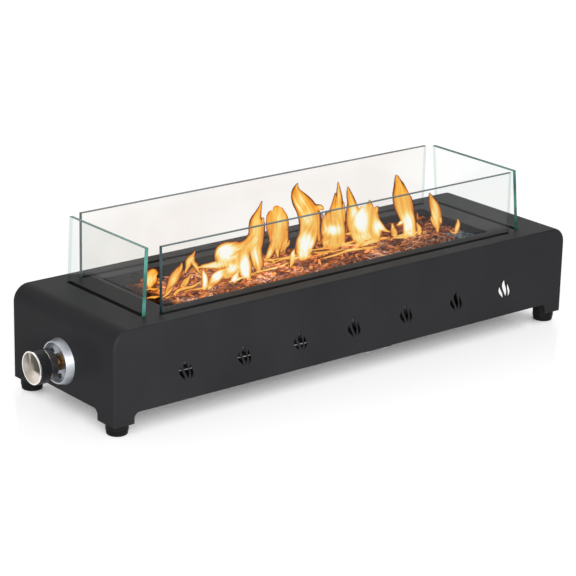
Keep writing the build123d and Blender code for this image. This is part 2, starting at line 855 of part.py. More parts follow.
with BuildPart() as valve_stem:
    with BuildSketch(valve_plane(valve_seat - collar_depth)):
        Circle(stem_radius)
    extrude(amount=stem_length)
    with BuildSketch(valve_plane(half_length + grip_start)):
        with Locations((0, stem_radius - stem_flat)):
            Rectangle(2 * stem_radius, 2 * stem_flat, align=(Align.CENTER, Align.MIN))
    extrude(amount=grip_length, mode=Mode.SUBTRACT)
    with BuildSketch(valve_plane(valve_seat - collar_depth)):
        Circle(collar_radius)
    extrude(amount=-collar_thickness)
    with BuildSketch(valve_plane(valve_seat - collar_end)):
        Rectangle(tongue_width, tongue_thickness)
    extrude(amount=-(plug_depth - collar_end + tongue_reach))

spring_length = plug_depth - collar_end - spring_wire - 2 * thread_clearance
spring_start = casing_x - valve_seat + collar_end + spring_wire / 2 + thread_clearance

with BuildPart() as valve_spring:
    with BuildLine() as coil:
        Helix(
            pitch=spring_length / spring_turns,
            height=spring_length,
            radius=spring_radius,
            center=(spring_start, valve_y, valve_height),
            direction=(1, 0, 0),
        )
    with BuildSketch(Plane(origin=coil.edge() @ 0, z_dir=coil.edge() % 0)):
        Circle(spring_wire / 2)
    sweep(path=coil.wire(), is_frenet=True)

with BuildPart() as valve_nut:
    with Locations(valve_plane(half_length + bezel_floor)):
        add(hex_nut(valve_nut_flats, valve_nut_height, neck_radius + thread_clearance))

thread_start = inlet_face + inlet_hex_height
thread_end = thread_start + inlet_thread_length

with BuildPart() as inlet_fitting:
    with BuildSketch(inlet_plane.offset(inlet_face)):
        Circle(inlet_stub_radius)
    extrude(amount=-inlet_stub_length)
    with BuildSketch(inlet_plane.offset(inlet_face)):
        RegularPolygon(inlet_hex_flats / 2, 6, major_radius=False)
    extrude(amount=inlet_hex_height)
    with BuildSketch(inlet_plane.offset(thread_start)):
        Circle(inlet_thread_radius)
    extrude(amount=inlet_thread_length)
    with BuildSketch(inlet_plane.offset(thread_end)):
        Circle(inlet_thread_radius - inlet_relief)
    extrude(amount=inlet_cone_length, taper=45)
    with BuildSketch(inlet_plane.offset(inlet_face - inlet_stub_length)):
        Circle(port_radius)
    extrude(amount=thread_end + inlet_cone_length, mode=Mode.SUBTRACT)

# ---- Bezel round the valve's neck ----

with BuildPart() as bezel:
    with BuildSketch(valve_section(half_length)):
        with BuildLine():
            Polyline(
                (0, 0),
                (bezel_base_radius, 0),
                (bezel_rim_radius, -bezel_depth),
                (bezel_rim_radius - bezel_wall, -bezel_depth),
                (bezel_base_radius - bezel_wall, -bezel_floor),
                (0, -bezel_floor),
                close=True,
            )
        make_face()
    revolve(axis=knob_axis)
    with BuildSketch(valve_plane(half_length)):
        Circle(neck_radius + screw_clearance)
        with Locations(*bezel_screw_places):
            Circle(bezel_screw_radius + screw_clearance)
    extrude(amount=bezel_floor, mode=Mode.SUBTRACT)
    fillet(bezel.edges().group_by(Axis.X)[0], bezel_wall / 2 - 0.1)

bezel_screw = pan_head_screw(bezel_screw_radius, bezel_floor + sheet + 2.2 * bezel_screw_radius)
with BuildPart() as bezel_screws:
    with Locations(valve_plane(half_length + bezel_floor)):
        with Locations(*bezel_screw_places):
            add(bezel_screw)
with BuildPart() as bezel_nuts:
    with Locations(valve_plane(valve_seat - 1.6 * bezel_screw_radius)):
        with Locations(*bezel_screw_places):
            add(screw_nut(bezel_screw_radius))

# ---- Knob ----

with BuildPart() as knob_skirt:
    with BuildSketch(valve_plane(half_length + knob_stand)):
        Circle(skirt_radius)
    extrude(amount=skirt_length)
    with BuildSketch(valve_plane(half_length + knob_stand)):
        Circle(skirt_radius - skirt_wall)
    extrude(amount=skirt_length - skirt_wall, mode=Mode.SUBTRACT)
    with BuildSketch(valve_plane(half_length + knob_stand)):
        Circle(stem_radius + slip_fit)
    extrude(amount=skirt_length, mode=Mode.SUBTRACT)

with BuildPart() as knob_ring:
    with BuildSketch(valve_plane(half_length + knob_stand + skirt_length)):
        Circle(ring_radius)
        Circle(stem_radius + slip_fit, mode=Mode.SUBTRACT)
    extrude(amount=ring_thickness)

with BuildPart() as knob_grip:
    with BuildSketch(valve_plane(half_length + grip_start)):
        Circle(grip_radius)
        with PolarLocations(grip_radius, grip_flutes):
            Circle(flute_radius, mode=Mode.SUBTRACT)
    extrude(amount=grip_length)
    with BuildSketch(valve_plane(half_length + grip_start)) as stem_bore:
        Circle(stem_radius + running_fit)
        with Locations((0, stem_radius - stem_flat + running_fit)):
            Rectangle(3 * stem_radius, 3 * stem_radius, align=(Align.CENTER, Align.MIN), mode=Mode.SUBTRACT)
    extrude(amount=grip_length - stem_end_gap + slip_fit, mode=Mode.SUBTRACT)

with BuildPart() as knob_cap:
    with BuildSketch(valve_section(half_length + grip_start + grip_length)):
        rim_corner = (cap_radius - cap_rim_width, -cap_rim_height)
        crown = (0, -cap_rim_height - cap_dome)
        with BuildLine():
            Polyline(crown, (0, 0), (cap_radius, 0), (cap_radius, -cap_rim_height), rim_corner)
            TangentArc(crown, rim_corner, tangent=(1, 0))
        make_face()
    revolve(axis=knob_axis)

# ---- Written out, one file for each piece or group of like fasteners ----

pieces = {
    "top_and_ends": top_and_ends,
    "front_panel": front_panel,
    "rear_panel": rear_panel,
    "foot_screws": foot_screws,
    "foot_nuts": foot_nuts,
    "cross_brace": cross_brace,
    "brace_screws": brace_screws,
    "brace_nuts": brace_nuts,
    "glass_cushions": glass_cushions,
    "burner_pan": burner_pan,
    "pan_studs": pan_studs,
    "pan_nuts": pan_nuts,
    "fire_glass_bed": fire_glass_bed,
    "burner_tube": burner_tube,
    "burner_end_caps": burner_end_caps,
    "burner_saddles": burner_saddles,
    "burner_nut": burner_nut,
    "mixing_tube": mixing_tube,
    "jet": jet,
    "gas_tube": gas_tube,
    "valve_flare_nut": valve_flare_nut,
    "jet_flare_nut": jet_flare_nut,
    "valve_body": valve_body,
    "valve_plug": valve_plug,
    "valve_cap": valve_cap,
    "valve_stem": valve_stem,
    "valve_spring": valve_spring,
    "valve_nut": valve_nut,
    "inlet_fitting": inlet_fitting,
    "bezel": bezel,
    "bezel_screws": bezel_screws,
    "bezel_nuts": bezel_nuts,
    "knob_skirt": knob_skirt,
    "knob_ring": knob_ring,
    "knob_grip": knob_grip,
    "knob_cap": knob_cap,
}
for corner in corners:
    pieces[f"foot_{corner}"] = rubber_foot(corner)
    pieces[f"foot_bracket_{corner}"] = foot_bracket(corner)
for name, side in {"front": front, "rear": rear, "left": left, "right": right}.items():
    pieces[f"glass_channel_{name}"] = glass_channel(side)
    pieces[f"glass_{name}"] = glass_panel(side)

os.makedirs("parts", exist_ok=True)
for name, piece in pieces.items():
    piece.part.label = name
    export_step(piece.part, f"parts/{name}.step")
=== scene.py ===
import math

import bmesh
import bpy
import numpy as np
from mathutils import Matrix, Vector


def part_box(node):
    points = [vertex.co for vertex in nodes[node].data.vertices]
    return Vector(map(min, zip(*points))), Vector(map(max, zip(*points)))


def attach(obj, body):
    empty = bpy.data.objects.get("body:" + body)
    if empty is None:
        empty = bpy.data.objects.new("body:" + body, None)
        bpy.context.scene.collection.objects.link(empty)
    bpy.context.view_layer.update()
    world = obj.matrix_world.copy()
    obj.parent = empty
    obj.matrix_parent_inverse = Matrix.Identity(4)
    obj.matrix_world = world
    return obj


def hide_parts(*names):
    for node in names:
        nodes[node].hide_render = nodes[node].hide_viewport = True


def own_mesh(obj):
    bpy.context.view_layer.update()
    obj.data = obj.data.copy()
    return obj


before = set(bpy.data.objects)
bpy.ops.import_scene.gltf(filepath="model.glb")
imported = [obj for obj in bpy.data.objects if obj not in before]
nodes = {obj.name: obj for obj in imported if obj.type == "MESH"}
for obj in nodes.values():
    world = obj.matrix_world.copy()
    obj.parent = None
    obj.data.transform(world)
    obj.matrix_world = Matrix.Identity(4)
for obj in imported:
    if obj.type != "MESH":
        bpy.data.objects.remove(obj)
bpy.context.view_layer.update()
mm = 0.001
white = (1, 1, 1, 1)
casingLow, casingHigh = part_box("top_and_ends")
middle = (casingLow.x + casingHigh.x) / 2  # the casing's middle, from which x is given below


def linear(hexCode):
    parts = [int(hexCode[i:i + 2], 16) / 255 for i in (1, 3, 5)]
    return tuple(c / 12.92 if c <= 0.04045 else ((c + 0.055) / 1.055) ** 2.4 for c in parts) + (1.0,)


def addNode(tree, kind, given=None):
    # A socket, or the first output of a node, is linked. Anything else is set, on the input of that name or
    # number or on the node itself
    node = tree.nodes.new(kind)
    for name, value in (given or {}).items():
        if isinstance(value, bpy.types.Node):
            value = value.outputs[0]
        if isinstance(value, bpy.types.NodeSocket):
            tree.links.new(value, node.inputs[name])
        elif isinstance(name, str) and name not in node.inputs:
            setattr(node, name, value)
        else:
            node.inputs[name].default_value = value
    return node


def maths(tree, operation, *values):
    return addNode(tree, "ShaderNodeMath", {"operation": operation, **dict(enumerate(values))}).outputs[0]


def along(tree, vector, axis):
    # How far a vector reaches along an axis
    return addNode(tree, "ShaderNodeVectorMath", {
        "operation": "DOT_PRODUCT", 0: vector, 1: axis}).outputs["Value"]


def between(tree, value, start, end, low=0.0, high=1.0, how="LINEAR"):
    # Low where the value is at the start, high where it is at the end
    return addNode(tree, "ShaderNodeMapRange", {
        "interpolation_type": how, "Value": value, "From Min": start, "From Max": end, "To Min": low,
        "To Max": high}).outputs[0]


def ramp(tree, factor, *stops):
    # Colours by the factor: pairs of a position and a colour, in order
    node = addNode(tree, "ShaderNodeValToRGB", {"Fac": factor})
    marks = node.color_ramp.elements
    for mark, (position, colour) in zip(marks, (stops[0], stops[-1])):
        mark.position, mark.color = position, linear(colour)
    for position, colour in stops[1:-1]:
        marks.new(position).color = linear(colour)
    return node.outputs["Color"]


def noise(tree, coords, size, detail, roughness=0.5, distortion=0.0):
    return addNode(tree, "ShaderNodeTexNoise", {
        "Scale": 1 / size, "Detail": detail, "Roughness": roughness, "Distortion": distortion,
        "Vector": coords}).outputs["Fac"]


def split(tree, vector):
    return addNode(tree, "ShaderNodeSeparateXYZ", {0: vector}).outputs


def stretched(tree, coords, scale):
    return addNode(tree, "ShaderNodeMapping", {"Scale": scale, "Vector": coords}).outputs[0]


def objectCoords(tree):
    return addNode(tree, "ShaderNodeTexCoord").outputs["Object"]


def ownMark(tree, label):
    return addNode(tree, "ShaderNodeAttribute", {
        "attribute_type": "GEOMETRY", "attribute_name": label}).outputs["Fac"]


def bumps(tree, height, strength, reliefMm):
    return addNode(tree, "ShaderNodeBump", {
        "Strength": strength, "Distance": reliefMm * mm, "Height": height}).outputs["Normal"]


def mixColours(tree, share, first, second, how="MIX"):
    return addNode(tree, "ShaderNodeMix", {
        "data_type": "RGBA", "blend_type": how, 0: share, 6: first, 7: second}).outputs[2]


def mixShaders(tree, share, first, second):
    return addNode(tree, "ShaderNodeMixShader", {0: share, 1: first, 2: second}).outputs[0]


def startMaterial(name):
    material = bpy.data.materials.new(name)
    material.use_nodes = True
    material.node_tree.nodes.clear()
    return material, material.node_tree


def finishMaterial(material, shader):
    addNode(material.node_tree, "ShaderNodeOutputMaterial", {"Surface": shader})
    return material


def addObject(name, data):
    thing = bpy.data.objects.new(name, data)
    bpy.context.scene.collection.objects.link(thing)
    return thing


def addLamp(name, kind, position, watts, colour):
    lamp = addObject(name, bpy.data.lights.new(name, kind))
    lamp.data.energy, lamp.data.color = watts, linear(colour)[:3]
    lamp.location = position
    return lamp


# Camera
cameraPlan = {
    "azimuth": -39.39,
    "elevation": 18.475,
    "roll": 1.33,
    "aim": (-0.0215, 0.0, 0.08675),  # from the casing's middle
    "distance": 2.7247,
    "lens": 139.8,
    "sensor": 36,
    "near": 0.05,
    "far": 60,
}
azimuth, elevation, roll = (math.radians(cameraPlan[k]) for k in ("azimuth", "elevation", "roll"))
back = Vector((
    math.sin(azimuth) * math.cos(elevation),
    -math.cos(azimuth) * math.cos(elevation),
    math.sin(elevation),
))
right = (-back).cross(Vector((0, 0, 1))).normalized()
up = right.cross(-back)
rolledRight = right * math.cos(roll) + up * math.sin(roll)
rolledUp = up * math.cos(roll) - right * math.sin(roll)
place = Vector(cameraPlan["aim"]) + Vector((middle, 0, 0)) + back * cameraPlan["distance"]
camera = addObject("camera", bpy.data.cameras.new("camera"))
camera.data.lens, camera.data.sensor_width = cameraPlan["lens"], cameraPlan["sensor"]
camera.data.clip_start, camera.data.clip_end = cameraPlan["near"], cameraPlan["far"]
camera.matrix_world = Matrix.Translation(place) @ Matrix((rolledRight, rolledUp, back)).transposed().to_4x4()
bpy.context.scene.camera = camera
print("camera placed")

# Studio: an even white surround, soft boxes and a pale floor with a faint gloss
studio = {
    "surround": 0.27,  # light that the surround gives to the object
    "backdrop": 1.0,  # and what is seen of it
    "boxes": [
        # place, aim, size, watts, colour
        ((-1.0, -1.6, 0.6), (-0.2, 0.0, 0.05), 1.0, 24, "#ffffff"),
        ((-1.0, -0.9, 0.12), (-0.3, -0.05, 0.03), 0.5, 2.5, "#ffffff"),
        ((1.6, 1.8, 2.6), (0.1, 0.0, 0.1), 1.6, 17, "#ffffff"),
    ],
}


def seenRays(tree):
    # One for a ray that shows a thing, straight or by gloss or glass, and nought for one that only lights it
    path = addNode(tree, "ShaderNodeLightPath").outputs
    first = maths(tree, "MAXIMUM", path["Is Camera Ray"], path["Is Glossy Ray"])
    return maths(tree, "MAXIMUM", first, path["Is Transmission Ray"])


world = bpy.data.worlds.new("studio")
world.use_nodes = True
sky = world.node_tree
sky.nodes.clear()
lighting = addNode(sky, "ShaderNodeBackground", {"Color": white, "Strength": studio["surround"]})
backdrop = addNode(sky, "ShaderNodeBackground", {"Color": white, "Strength": studio["backdrop"]})
surround = mixShaders(sky, seenRays(sky), lighting, backdrop)
addNode(sky, "ShaderNodeOutputWorld", {"Surface": surround})
bpy.context.scene.world = world
bpy.context.scene.view_settings.view_transform = "Standard"

for number, (position, aim, size, watts, colour) in enumerate(studio["boxes"]):
    lamp = addLamp(f"softBox{number}", "AREA", position, watts, colour)
    lamp.data.shape, lamp.data.size = "SQUARE", size
    lamp.rotation_euler = (Vector(aim) - Vector(position)).to_track_quat("-Z", "Y").to_euler()
    lamp.visible_camera = False

floorLook = {
    "half": 9,
    "colour": "#c8c8c9",
    "glow": 0.78,
    "shadeReach": 0.32,  # metres over which the object keeps light off the floor round it
    "shadeFall": 4.2,
    "shadeRays": 8,
    "dark": "#3a3a3b",  # painted shade straight under the casing
    "under": {"X": (middle + 0.03, 0.30), "Y": (0.04, 0.05)},  # the middle and half length of that painted shade
    "underEdge": (-0.02, 0.03),  # metres from its edge where the floor's own light starts and is full
    "gloss": 0.07,
    "roughness": 0.12,
}


def studioFloor(name, look):
    # The floor's own light fades where the object stands over it, a painted shadow; straight under the casing
    # it has none, and its colour there is painted dark, a painted shade
    material, tree = startMaterial(name)
    openness = addNode(tree, "ShaderNodeAmbientOcclusion", {
        "Distance": look["shadeReach"], "samples": look["shadeRays"]}).outputs["AO"]
    shaded = maths(tree, "POWER", maths(tree, "SUBTRACT", 1.0, openness), look["shadeFall"])
    openGlow = maths(tree, "MULTIPLY_ADD", shaded, -look["glow"], look["glow"])
    parts = split(tree, objectCoords(tree))
    aside = []
    for axis, (centre, half) in look["under"].items():
        offset = maths(tree, "ABSOLUTE", maths(tree, "SUBTRACT", parts[axis], centre))
        aside.append(maths(tree, "SUBTRACT", offset, half))
    outsidePaintedShade = between(tree, maths(tree, "MAXIMUM", *aside), *look["underEdge"])
    glow = maths(tree, "MULTIPLY", maths(tree, "MULTIPLY", openGlow, outsidePaintedShade), seenRays(tree))
    light = addNode(tree, "ShaderNodeEmission", {"Color": white, "Strength": glow})
    # Painted shade: the floor's colour turns dark straight under the casing
    tone = mixColours(tree, outsidePaintedShade, linear(look["dark"]), linear(look["colour"]))
    diffuse = addNode(tree, "ShaderNodeBsdfDiffuse", {"Color": tone})
    base = addNode(tree, "ShaderNodeAddShader", {0: diffuse, 1: light})
    shine = addNode(tree, "ShaderNodeBsdfGlossy", {"Color": white, "Roughness": look["roughness"]})
    return finishMaterial(material, mixShaders(tree, look["gloss"], base, shine))


floorMesh, reach = bpy.data.meshes.new("floor"), floorLook["half"]
floorMesh.from_pydata([(-reach, -reach, 0), (reach, -reach, 0), (reach, reach, 0), (-reach, reach, 0)], [],
                      [(0, 1, 2, 3)])
floorMesh.materials.append(studioFloor("whiteStudioFloor", floorLook))
floor = addObject("floor", floorMesh)
print("studio lit")

noiseSpan = (0.3, 0.7)  # between which nearly all of a noise texture's values lie


def glossDrift(tree, pattern, roughness, drift):
    return between(tree, pattern, *noiseSpan, roughness - drift, roughness + drift)


def coated(name, look, reliefMm=0.2, drifts=0.04):
    # Sprayed or moulded opaque finish: a fine grain in the surface and a slow drift in tone and gloss
    material, tree = startMaterial(name)
    coords = objectCoords(tree)
    drift = noise(tree, coords, look["driftMm"] * mm, 3.0, 0.55)
    grain = noise(tree, coords, look["grainMm"] * mm, 2.0, 0.6)
    shader = addNode(tree, "ShaderNodeBsdfPrincipled", {
        "IOR": 1.5,
        "Specular IOR Level": look.get("specular", 0.5),
        "Base Color": ramp(tree, drift, (0.35, look["dark"]), (0.65, look["light"])),
        "Roughness": glossDrift(tree, drift, look["roughness"], drifts),
        "Normal": bumps(tree, grain, look["grainDepth"], reliefMm),
    })
    return finishMaterial(material, shader)


def worked(name, look, reliefMm=0.1, drifts=0.06):
    # Bare metal: fine tool lines along one direction, and with them a drift in tone and gloss
    material, tree = startMaterial(name)
    lines = noise(tree, stretched(tree, objectCoords(tree), look["lines"]), look["lineMm"] * mm, 3.0, 0.6)
    shader = addNode(tree, "ShaderNodeBsdfPrincipled", {
        "Metallic": 1.0,
        "Base Color": ramp(tree, lines, (noiseSpan[0], look["dark"]), (noiseSpan[1], look["light"])),
        "Roughness": glossDrift(tree, lines, look["roughness"], drifts),
        "Normal": bumps(tree, lines, look["depth"], reliefMm),
    })
    return finishMaterial(material, shader)


def dress(material, *names):
    for name in names:
        nodes[name].data.materials.clear()
        nodes[name].data.materials.append(material)


cornerNames = ("front_left", "front_right", "rear_left", "rear_right")
sideNames = ("front", "rear", "left", "right")

# Powder coat, charcoal, satin: a soft broad sheen with hardly any grain
casingPaint = {"dark": "#2a2a2c", "light": "#303032", "roughness": 0.5, "driftMm": 120, "grainMm": 1.6,
               "grainDepth": 0.12, "specular": 0.06}
dress(coated("powderCoatCharcoal", casingPaint), "top_and_ends", *[f"foot_bracket_{c}" for c in cornerNames],
      *[f"glass_channel_{s}" for s in sideNames])
# The casing's own powder coat on the front and rear panels, painted a shade lighter and glossier for the
# light that falls on them
litSidePaint = {**casingPaint, "dark": "#2c2c2e", "light": "#323234", "roughness": 0.42, "specular": 0.09}
dress(coated("powderCoatCharcoalLitSides", litSidePaint), "front_panel", "rear_panel")
panPaint = {"dark": "#26282a", "light": "#303336", "roughness": 0.45, "driftMm": 60, "grainMm": 1.6,
            "grainDepth": 0.15, "specular": 0.08}
dress(coated("heatProofPaintCharcoal", panPaint), "burner_pan")
bracePaint = {"dark": "#0e0e0f", "light": "#161617", "roughness": 0.5, "driftMm": 30, "grainMm": 1.2,
              "grainDepth": 0.15}
dress(coated("blackPaintedSteel", bracePaint), "cross_brace")
rubberLook = {"dark": "#0b0b0c", "light": "#141415", "roughness": 0.62, "driftMm": 12, "grainMm": 1.0,
              "grainDepth": 0.3, "specular": 0.15}
dress(coated("mouldedRubberBlack", rubberLook), *[f"foot_{c}" for c in cornerNames])
siliconeLook = {"dark": "#74767a", "light": "#85878b", "roughness": 0.6, "driftMm": 20, "grainMm": 1.0,
                "grainDepth": 0.1}
dress(coated("extrudedSiliconeGrey", siliconeLook), "glass_cushions")
burnerIron = {"dark": "#18181a", "light": "#2a2a2c", "roughness": 0.7, "driftMm": 8, "grainMm": 1.4,
              "grainDepth": 0.8}
dress(coated("castIronRaw", burnerIron), "mixing_tube")
blackScrews = {"dark": "#08080a", "light": "#141417", "roughness": 0.4, "driftMm": 4, "grainMm": 0.8,
               "grainDepth": 0.2}
dress(coated("blackOxideSteel", blackScrews), "bezel_screws")
print("paint, rubber and iron done")

stainless = {"dark": "#8f8f8e", "light": "#b3b2af", "roughness": 0.35, "lineMm": 1.5, "lines": (0.05, 1, 1),
             "depth": 0.1}
dress(worked("stainlessTubeMill", stainless), "burner_tube", "burner_end_caps", "burner_saddles")
zinc = {"dark": "#a7aaae", "light": "#d0d2d5", "roughness": 0.3, "lineMm": 1.2, "lines": (1, 1, 1),
        "depth": 0.1}
dress(worked("brightZincSteel", zinc), "foot_screws", "foot_nuts", "brace_screws", "brace_nuts", "pan_studs",
      "pan_nuts", "burner_nut", "bezel_nuts")
drawnAluminium = {"dark": "#b9babc", "light": "#dcdcdd", "roughness": 0.32, "lineMm": 1.0,
                  "lines": (0.04, 1, 1), "depth": 0.1}
dress(worked("drawnAluminiumTube", drawnAluminium), "gas_tube")
turnedBrass = {"dark": "#8c6a35", "light": "#c8a578", "roughness": 0.34, "lineMm": 1.6,
               "lines": (3, 0.6, 0.6), "depth": 0.15}
dress(worked("turnedBrass", turnedBrass), "jet", "valve_flare_nut", "jet_flare_nut", "valve_body",
      "valve_plug", "valve_cap", "valve_stem", "inlet_fitting")
# A darker copy of the turned brass for the valve nut
darkerBrass = {**turnedBrass, "dark": "#57432a", "light": "#8a6c45"}
dress(worked("darkerBrass", darkerBrass), "valve_nut")
springWire = {"dark": "#77797c", "light": "#a5a7aa", "roughness": 0.3, "lineMm": 0.8, "lines": (1, 1, 1),
              "depth": 0.1}
dress(worked("springSteelWire", springWire), "valve_spring")
# Broad blotches of tone on the bezel, partly the anodising's own drift and partly painted reflections
bezelMetalAndReflections = {"dark": "#a6aaaf", "light": "#c6cacf", "roughness": 0.44, "lineMm": 14.0, "lines": (1, 1, 1),
              "depth": 0.01}
dress(worked("satinAnodisedAluminiumAndReflections", bezelMetalAndReflections), "bezel")
ringMetal = {"dark": "#a59c90", "light": "#f0e9df", "roughness": 0.2, "lineMm": 7.0, "lines": (1, 1.6, 0.6),
             "depth": 0.05}
dress(worked("polishedChromeWarm", ringMetal), "knob_ring")


def spunCapWithPaintedReflections(name, look):
    # Spun and chromed cap: a painted highlight on its polished rim, round a dished middle with painted
    # reflections in wedge-shaped sectors by the turn round its centre, in place of the light its turning
    # lines spread
    material, tree = startMaterial(name)
    low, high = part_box("knob_cap")
    centre, radius = (low + high) / 2, (high.z - low.z) / 2
    fromCentre = addNode(tree, "ShaderNodeVectorMath", {
        "operation": "SUBTRACT", 0: objectCoords(tree), 1: tuple(centre)})
    parts = split(tree, fromCentre)
    flat = addNode(tree, "ShaderNodeCombineXYZ", {"Y": parts["Y"], "Z": parts["Z"]})
    distance = addNode(tree, "ShaderNodeVectorMath", {"operation": "LENGTH", 0: flat}).outputs["Value"]
    share = maths(tree, "DIVIDE", distance, radius)
    turn = between(tree, maths(tree, "ARCTAN2", parts["Z"], parts["Y"]), -math.pi, math.pi)
    paintedReflectionWedges = ramp(tree, turn, *look["paintedReflectionWedges"])
    dished = mixColours(tree, between(tree, share, *look["middleEnds"]), linear(look["middle"]), paintedReflectionWedges)
    colour = mixColours(tree, between(tree, share, *look["rimStarts"]), dished, linear(look["rim"]))
    rings = maths(tree, "SINE", maths(tree, "MULTIPLY", distance, 2 * math.pi / (look["lineMm"] * mm)))
    shader = addNode(tree, "ShaderNodeBsdfPrincipled", {
        "Metallic": 1.0, "Roughness": look["roughness"], "Base Color": colour,
        "Normal": bumps(tree, rings, look["depth"], look["reliefMm"])})
    return finishMaterial(material, shader)


capMetalAndPaintedReflections = {
    # A painted highlight on the rim, and painted reflection in the dished middle
    "rim": "#f4f1ec",
    "rimStarts": (0.9, 0.95),  # shares of the radius
    "middle": "#9c958c",
    "middleEnds": (0.1, 0.5),
    "roughness": 0.24,
    "lineMm": 0.9,
    "depth": 0.12,
    "reliefMm": 0.05,
    # share of a turn from the rear, upwards through the front, and the painted reflection's tone there
    "paintedReflectionWedges": ((0, "#4a463c"), (0.05, "#dcd0c6"), (0.16, "#d6cbc1"), (0.27, "#b9ada2"), (0.38, "#a0968c"),
               (0.5, "#b3aaa1"), (0.6, "#8c867e"), (0.68, "#5d584f"), (0.72, "#b4aca0"), (0.76, "#57534a"),
               (1, "#4a463c")),
}
dress(spunCapWithPaintedReflections("spunChromePaintedReflections", capMetalAndPaintedReflections), "knob_cap")
print("metals done")

gripLook = {"dark": "#0c0d10", "light": "#1b1c20", "roughness": 0.38, "driftMm": 2.2, "grainMm": 1.1,
            "grainDepth": 0.6, "specular": 0.35}
dress(coated("knurledPlasticBlack", gripLook), "knob_grip")
skirtLook = {"dark": "#232427", "light": "#2e2f31", "roughness": 0.35, "driftMm": 9, "grainMm": 0.9,
             "grainDepth": 0.1}
dress(coated("mouldedPlasticGrey", skirtLook), "knob_skirt")
print("knob done")

sheetLook = {
    "faceLight": "#fdfdfc",
    "faceDriftMm": 150,
    "faceTurn": 0.9,  # how squarely a surface is turned to the sheet's own direction, to be a face
    "mirror": 0.014,  # share of light mirrored straight on, what grazing adds to it, and how late that comes
    "mirrorGrazing": 0.9,
    "mirrorFall": 5.0,
    "edgeStretch": (0.3, 0.3, 1),
    "edgeDriftMm": 30,
    "edgeRoughness": 0.2,
}


def paneGlass(name, look):
    # Clear float glass with ground edges: nearly colourless faces, green where light runs along the sheet
    material, tree = startMaterial(name)
    coordinates = addNode(tree, "ShaderNodeTexCoord").outputs
    coords = coordinates["Object"]
    squarely = maths(tree, "ABSOLUTE", along(tree, coordinates["Normal"], look["facing"]))
    isFace = maths(tree, "GREATER_THAN", squarely, look["faceTurn"])
    # Faces
    veil = noise(tree, coords, look["faceDriftMm"] * mm, 2.0)
    through = addNode(tree, "ShaderNodeBsdfTransparent", {
        "Color": ramp(tree, veil, (0.35, look["faceDark"]), (0.7, look["faceLight"]))})
    sheen = addNode(tree, "ShaderNodeBsdfGlossy", {"Color": white, "Roughness": 0.03})
    graze = addNode(tree, "ShaderNodeLayerWeight", {"Blend": 0.5}).outputs["Facing"]
    mirrored = maths(tree, "MULTIPLY_ADD", maths(tree, "POWER", graze, look["mirrorFall"]),
                     look["mirrorGrazing"], look["mirror"])
    face = mixShaders(tree, mirrored, through, sheen)
    # Edges: green glass, with painted light and shade drifting along them
    run = noise(tree, stretched(tree, coords, look["edgeStretch"]), look["edgeDriftMm"] * mm, 2.0)
    edge = addNode(tree, "ShaderNodeBsdfPrincipled", {
        "Roughness": look["edgeRoughness"], "IOR": 1.52, "Specular IOR Level": 0.3,
        "Base Color": ramp(tree, run, (0.38, look["edgeGreenShaded"]), (0.62, look["edgeGreenLit"]))})
    # The edges turned to the rear and right are painted pale and clear, for the light that shows through
    # them, with hardly any green
    pale = addNode(tree, "ShaderNodeBsdfTransparent", {"Color": linear(look["farEdgePaintedPale"])})
    isFar = maths(tree, "GREATER_THAN", along(tree, coords, look["farSide"]), look["farFrom"])
    anyEdge = mixShaders(tree, isFar, edge, pale)
    return finishMaterial(material, mixShaders(tree, isFace, anyEdge, face))


longPane = {"facing": (0, 1, 0), "farSide": (1, 0, 0), "farEdgePaintedPale": "#e2e9e7"}
endPane = {"facing": (1, 0, 0), "farSide": (0, 1, 0), "farEdgePaintedPale": "#e2ebe8"}
# Each pane's edges carry their own painted light and shade over the green of the glass
paneLooks = {
    "front": {**longPane, "faceDark": "#fbfcfc", "edgeGreenShaded": "#10292c", "edgeGreenLit": "#3d5f62"},
    "rear": {**longPane, "faceDark": "#f9f7f5", "edgeGreenShaded": "#3c4a49", "edgeGreenLit": "#6a7a78"},
    "left": {**endPane, "faceDark": "#f4f6f5", "edgeGreenShaded": "#2c6a60", "edgeGreenLit": "#5da396"},
    "right": {**endPane, "faceDark": "#fbfcfc", "edgeGreenShaded": "#1c4d45", "edgeGreenLit": "#4f9385"},
}
for side, look in paneLooks.items():
    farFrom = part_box(f"glass_{side}")[1].dot(Vector(look["farSide"])) - 1 * mm
    glass = paneGlass(f"floatGlass{side.capitalize()}", {**sheetLook, **look, "farFrom": farFrom})
    dress(glass, f"glass_{side}")
print("glass done")

# Fire glass: crushed glass heaped over the burner, chip by chip on the bed's own shape
bedPlan = {
    "rise": 5.0,  # mm that the heap's right end stands higher than the rest
    "riseStart": 40.0,
    "riseEnd": 230.0,
    "riseCurve": 1.5,
    "moved": 100.0,  # mm above the table, over which the bed's surface takes part in that rise
    "chipMm": 8.6,
    "spacingMm": 4.3,
    "pileMm": 2.6,  # how far a chip may lie above the bed's surface
    "seed": 7,
}
bedShape = bmesh.new()
bedShape.from_mesh(nodes["fire_glass_bed"].data)
bmesh.ops.remove_doubles(bedShape, verts=bedShape.verts, dist=0.01 * mm)
riseLength = bedPlan["riseEnd"] - bedPlan["riseStart"]
for vertex in bedShape.verts:
    if vertex.co.z > bedPlan["moved"] * mm:
        share = ((vertex.co.x - middle) / mm - bedPlan["riseStart"]) / riseLength
        vertex.co.z += bedPlan["rise"] * mm * max(0.0, min(1.0, share)) ** bedPlan["riseCurve"]
bedMesh = bpy.data.meshes.new("bedShape")
bedShape.to_mesh(bedMesh)
bedShape.free()


